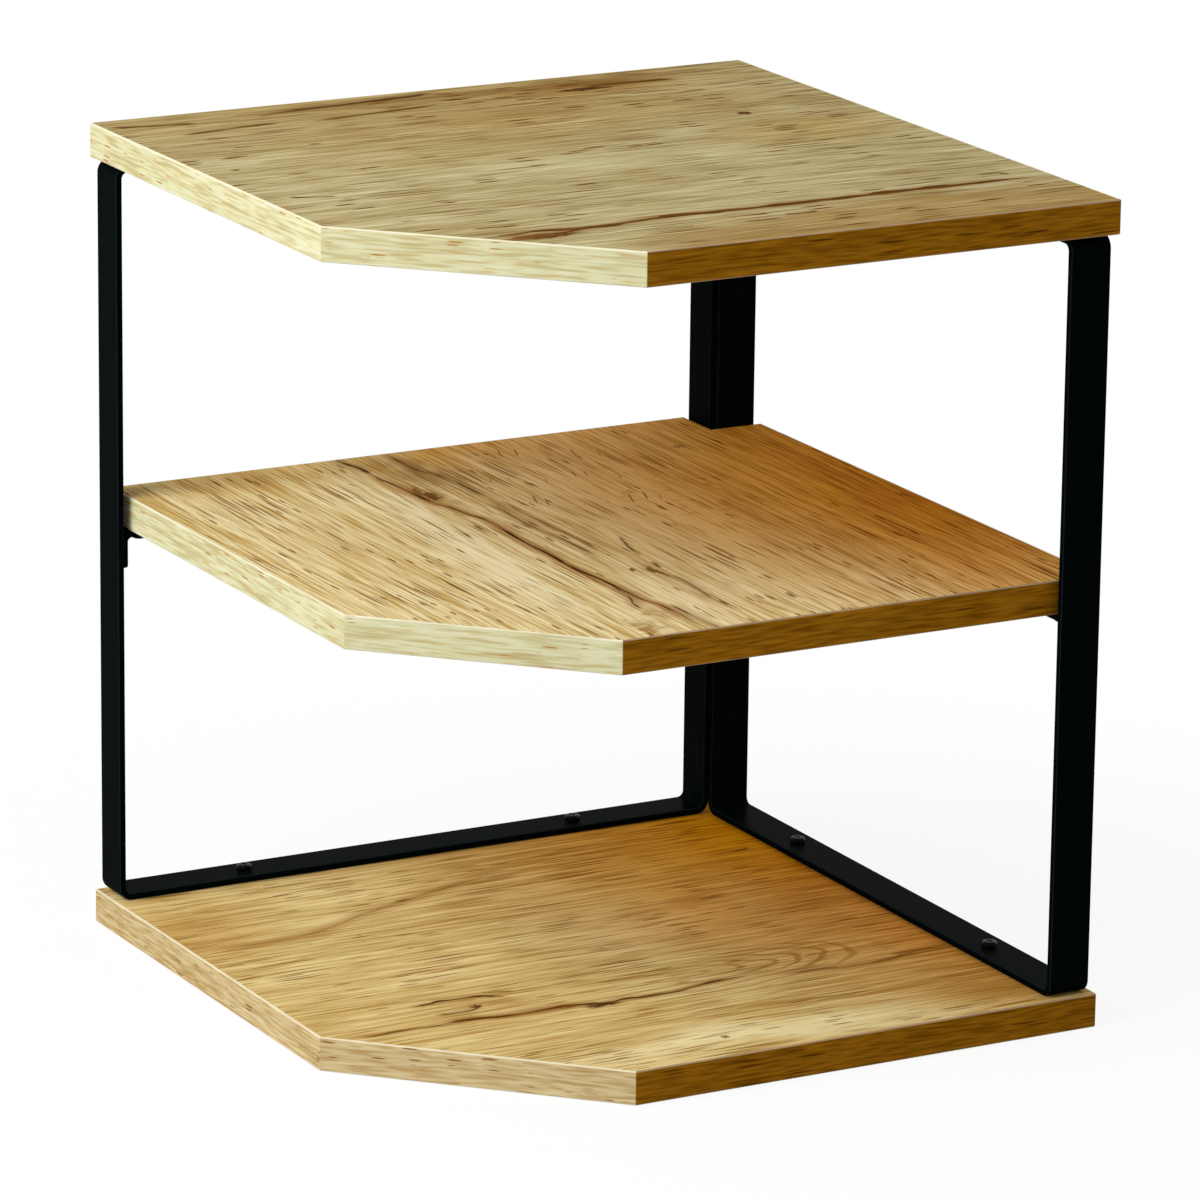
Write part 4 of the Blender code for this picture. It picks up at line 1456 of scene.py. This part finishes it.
@dataclass
class Screw:
    """One screw, built upright with its head up and then carried to its place."""

    node: str
    kind: ScrewKind
    length: float
    finish: Material
    place: Matrix

    def threaded(self) -> np.ndarray:
        """Work out the screw's rings: its profile turned round the axis, with a helical thread.

        On the thread the radius is the root plus a tooth, a triangle wave of the height over the
        pitch less the angle over a full turn, which fades in at the thread's start and end.

        Returns:
            The rings' points.
        """
        kind, profile = self.kind, self.kind.profile(self.length)
        start, end, pitch = kind.thread_start, kind.tip_length - self.length, kind.pitch
        heights = np.linspace(start, end, int((start - end) / pitch * kind.rows_per_turn))
        above, below = profile[profile[:, 1] > start], profile[profile[:, 1] < end]
        core = np.column_stack([np.interp(-heights, -profile[:, 1], profile[:, 0]), heights])
        radii, levels = np.vstack([above, core, below]).T
        turn = np.arange(kind.columns) / kind.columns
        phase = (levels[:, None] / pitch - turn) % 1.0
        tooth = np.clip(TOOTH_HEIGHT - np.abs(phase - 0.5) * TOOTH_SLOPE, 0.0, 1.0)
        fade = np.clip((start - levels) / pitch, 0, 1) * np.clip((levels - end) / pitch, 0, 1)
        radius = radii[:, None] + fade[:, None] * tooth * (kind.crest - kind.root)
        return circle(radius, levels[:, None], kind.columns)

    def recess(self) -> Surface:
        """Make the cross-shaped punch: a plus outline that narrows as it sinks, to a blunt end.

        Returns:
            The punch's closed shape.
        """
        kind = self.kind
        far, near = kind.recess_length / 2, kind.recess_width / 2
        arm = np.array([[far, -near], [far, near], [near, near]])
        turns = [(math.cos(QUARTER_TURN * turn), math.sin(QUARTER_TURN * turn)) for turn in range(4)]
        plus = np.vstack([arm @ np.array([[cos, sin], [-sin, cos]]) for cos, sin in turns])
        levels = []
        for sunk, size in ((-1.0, 1 + kind.recess_taper), (0.0, 1.0), (0.8, 1 - kind.recess_taper),
                           (1.0, kind.recess_end)):
            height = kind.head_height - kind.recess_depth * sunk
            levels.append(np.column_stack([plus * size, np.full(len(plus), height)]))
        return carried(np.array(levels))

    def build(self) -> None:
        """Build the screw, punch its recess and carry it to its place."""
        mesh = drilled(turned_surface(self.threaded()), self.node + "_threaded", [self.recess()])
        mesh.transform(self.place)
        finish_piece(self.node + "_threaded", mesh, self.finish, self.node)


def cutter(facing: Vector, middles: list[Vector], radii: list[float]) -> Surface:
    """Make a round cutter by the middle and the radius of each of its rings.

    Args:
        facing: The way that its axis lies.
        middles: The rings' middles.
        radii: Their radii.

    Returns:
        The cutter's closed shape.
    """
    turn = np.array(facing.to_track_quat("Z", "Y").to_matrix())
    rings = circle(np.array(radii)[:, None], 0.0, CUTTER_COLUMNS) @ turn.T
    return carried(rings + np.array(middles)[:, None, :])


def screw_ends(node: str, axis: int, way: int) -> tuple[Vector, Vector]:
    """Find the middle of a screw's head face and of its tip.

    Args:
        node: The screw's CAD node.
        axis: The world axis that it lies along.
        way: 1 where its head is at the axis's high end, and -1 at the low end.

    Returns:
        The head face's middle and the tip.
    """
    low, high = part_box(node)
    head = (low + high) / 2
    tip = head.copy()
    head[axis], tip[axis] = (high[axis], low[axis]) if way > 0 else (low[axis], high[axis])
    return head, tip


# The whole shelf

@dataclass
class CornerShelf:
    """The shelf: three boards, two frames, four brackets and sixteen screws."""

    screw_finish: Material
    bar_finish: Material
    raw_finish: Material
    board_sizes: BoardSizes = BoardSizes()
    bar_sizes: BarSizes = BarSizes()
    bracket_sizes: BracketSizes = BracketSizes()
    hole_depth: float = 1.0 * MM
    drills: dict[str, list[Surface]] = field(default_factory=lambda: defaultdict(list))

    def build_wood_screw(self, node: str, way: int, targets: tuple[str, str]) -> None:
        """Build a pan-head screw, and drill what it goes through and into.

        Args:
            node: The screw's CAD node.
            way: 1 where its head is at its top, and -1 where it is below.
            targets: The two pieces' names.
        """
        head, tip = screw_ends(node, 2, way)
        up = Vector((0, 0, way))
        turn = Matrix.Identity(4) if way > 0 else Matrix.Rotation(math.pi, 4, "X")
        seat = head - up * PAN_HEAD.head_height
        Screw(node, PAN_HEAD, (head - tip).length - PAN_HEAD.head_height, self.screw_finish,
              Matrix.Translation(seat) @ turn).build()
        ends = [seat + up * MM, tip - up * self.hole_depth]
        hole = cutter(ends[1] - ends[0], ends, [self.bar_sizes.wood_hole] * 2)
        for target in targets:
            self.drills[target].append(hole)

    def build_bracket_screw(self, side: Side, end: End) -> None:
        """Build the countersunk screw of one bracket, and drill the bracket and its post.

        Args:
            side: The bracket's frame.
            end: The bracket's post.
        """
        stem, loop, axis = f"{end.name.lower()}_{side.value}", side.value + "_frame", side.along
        head, tip = screw_ends(stem + "_bracket_screw", axis, end.value)
        facing = Vector([end.value if number == axis else 0 for number in range(3)])
        turn = facing.to_track_quat("Z", "Y").to_matrix().to_4x4()
        Screw(stem + "_bracket_screw", COUNTERSUNK, (head - tip).length, self.screw_finish,
              Matrix.Translation(head) @ turn).build()
        over, rim, mouth, shank = 1.0 * MM, 0.6 * MM, 3.9 * MM, self.bar_sizes.tapped_hole
        heights = (over, -rim, -rim - (mouth - shank), -self.bracket_sizes.thickness - over)
        self.drills[stem + "_shelf_bracket"].append(cutter(
            facing, [head + facing * height for height in heights], [mouth, mouth, shank, shank]))
        low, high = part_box(loop)
        floor = head.copy()
        floor[axis] = (high if end is End.REAR else low)[axis] + end.value * self.bar_sizes.post_floor
        self.drills[loop].append(cutter(floor - head, [head, floor], [shank] * 2))

    def build(self) -> None:
        """Build the screws, which drill the other pieces, and then the boards, frames and brackets."""
        for side in Side:
            for end in End:
                stem, loop = f"{end.name.lower()}_{side.value}", side.value + "_frame"
                for kind, way, targets in (
                        ("bottom_rail", 1, ("bottom_board", loop)), ("top_rail", -1, ("top_board", loop)),
                        ("shelf", -1, ("middle_board", stem + "_shelf_bracket"))):
                    self.build_wood_screw(f"{stem}_{kind}_screw", way, targets)
                self.build_bracket_screw(side, end)
        face_half = BOARD_HALF - self.board_sizes.band_arris
        strips = {name: oak.edge_strip(f"oak_edge_strip_{name}", face_half, scrape_and_highlight_share)
                  for name, (oak, scrape_and_highlight_share) in STRIPS.items()}
        for name, (oak, strip) in BOARDS.items():
            low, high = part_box(name)
            finish = oak.board_face(f"{name}_oak_print", ((low + high) / 2).z)
            # The right sides get the deep strip, whose darker print is painted shade.
            band_finish = {side: strips["deep" if side == "right" else strip] for side in BAND_SIDES}
            Board(name, self.board_sizes, finish, band_finish, self.raw_finish,
                  self.drills[name]).build()
        for side in Side:
            FlatBarFrame(side, self.bar_sizes, self.bar_finish, self.drills[side.value + "_frame"]).build()
            for end in End:
                drills = self.drills[f"{end.name.lower()}_{side.value}_shelf_bracket"]
                ShelfBracket(side, end, self.bracket_sizes, self.bar_finish, drills).build()


# The studio

@dataclass(frozen=True)
class View:
    """Something that looks at the shelf's middle: its azimuth and elevation in degrees, and how far.

    The azimuth is anticlockwise from -Y.
    """

    azimuth: float
    elevation: float
    distance: float

    @property
    def way(self) -> Vector:
        """The way from the shelf's middle to it."""
        turn, rise = math.radians(self.azimuth), math.radians(self.elevation)
        flat = math.cos(rise)
        return Vector((math.sin(turn) * flat, -math.cos(turn) * flat, math.sin(rise)))


@dataclass
class Studio:
    """A pale floor, a white background, one soft box and the camera.

    Near the shelf the floor shows its shadow. Further out it turns white, from `white_from` to
    `white_at`, and `near_share` of the white is there already.
    """

    camera: View = View(-28.673, 15.675, 3.1413)
    roll: float = 0.699
    target: tuple[float, float, float] = (0.00219, -0.00482, 0.17119)
    lens_mm: float = 217.54
    sensor_mm: float = 36.0
    soft_box: View = View(-83.0, 36.0, 1.9)
    box_size: float = 1.3
    box_power: float = 34.0
    world_strength: float = 0.52
    floor_half: float = 6.0
    floor_drop: float = 0.2 * MM
    white_from: float = 0.20
    white_at: float = 0.55
    near_share: float = 0.88
    clip_end: float = 50.0

    def add_camera(self) -> None:
        """Stand the camera where the photograph was taken from."""
        turn, roll = math.radians(self.camera.azimuth), math.radians(self.roll)
        back = self.camera.way
        level = Vector((math.cos(turn), math.sin(turn), 0))
        over = back.cross(level)
        right = level * math.cos(roll) + over * math.sin(roll)
        up = over * math.cos(roll) - level * math.sin(roll)
        data = bpy.data.cameras.new("photo_camera")
        data.lens, data.sensor_width, data.clip_end = self.lens_mm, self.sensor_mm, self.clip_end
        camera = linked("photo_camera", data)
        place = Matrix((right, up, back)).transposed().to_4x4()
        place.translation = Vector(self.target) + back * self.camera.distance
        camera.matrix_world = place
        bpy.context.scene.camera = camera

    def add_soft_box(self) -> None:
        """Hang the soft box left of the shelf, facing it."""
        data = bpy.data.lights.new("left_soft_box", "AREA")
        data.shape, data.size, data.energy = "SQUARE", self.box_size, self.box_power
        way = self.soft_box.way
        place = Matrix.Translation(Vector(self.target) + way * self.soft_box.distance)
        turn = way.to_track_quat("Z", "Y").to_matrix().to_4x4()
        linked("left_soft_box", data).matrix_world = place @ turn

    def seen_directly(self, add: Callable[..., Node]) -> Node:
        """Tell the rays that are seen from the light's own.

        Args:
            add: The function that adds a node.

        Returns:
            The node that gives 1 for rays from the camera and through gloss or glass, and else 0.
        """
        rays = add("LightPath").outputs
        mirrored = add("Math MAXIMUM", (rays["Is Camera Ray"], rays["Is Glossy Ray"]))
        return add("Math MAXIMUM", (mirrored, rays["Is Transmission Ray"]))

    def add_world(self) -> None:
        """Make the background white where it is seen, and a soft plain light elsewhere."""
        world = bpy.data.worlds.new("white_studio")
        world.use_nodes = True
        add = partial(add_node, world.node_tree)
        feed(world.node_tree.nodes["Background"], {
            "Color": linear("#FFFFFF"), "Strength": add("MapRange", {
                "Value": self.seen_directly(add), "To Min": self.world_strength, "To Max": 1.0})})
        bpy.context.scene.world = world

    def add_floor(self) -> None:
        """Lay the floor: pale, with the shelf's shadow on it, and white further out where it is seen."""
        half, low = self.floor_half, -self.floor_drop
        mesh = bpy.data.meshes.new("studio_floor")
        mesh.from_pydata([(-half, -half, low), (half, -half, low), (half, half, low),
                          (-half, half, low)], [], [(0, 1, 2, 3)])
        material, add, shader = new_material("pale_floor")
        feed(shader, {"Base Color": linear("#BEBEBE"), "Roughness": 0.9, "Specular IOR Level": 0.0})
        white = add("Emission", {"Color": linear("#FFFFFF"), "Strength": 1.0})
        paper = add("BsdfDiffuse", {"Color": linear("#FAFAFA")})
        away = add("VectorMath LENGTH", (add("TexCoord").outputs["Object"],))
        lift = add("MapRange", (
            away.outputs["Value"], self.white_from, self.white_at, self.near_share, 1.0),
            interpolation_type="SMOOTHSTEP")
        shown = add("MixShader", (lift, paper, white))
        both = add("MixShader", (self.seen_directly(add), shader, shown))
        feed(material.node_tree.nodes["Material Output"], {"Surface": both})
        floor = linked("studio_floor", mesh)
        mesh.materials.append(material)

    def build(self) -> None:
        """Set up the whole studio."""
        self.add_camera()
        self.add_soft_box()
        self.add_world()
        self.add_floor()
        bpy.context.scene.view_settings.view_transform = "Standard"


def main() -> None:
    """Build the studio and the shelf."""
    logging.basicConfig(level=logging.INFO, format="%(message)s")
    Studio().build()
    CornerShelf(BlackZinc().material(), PowderCoat().material(), RawChipboard().material()).build()


if __name__ == "__main__":
    main()
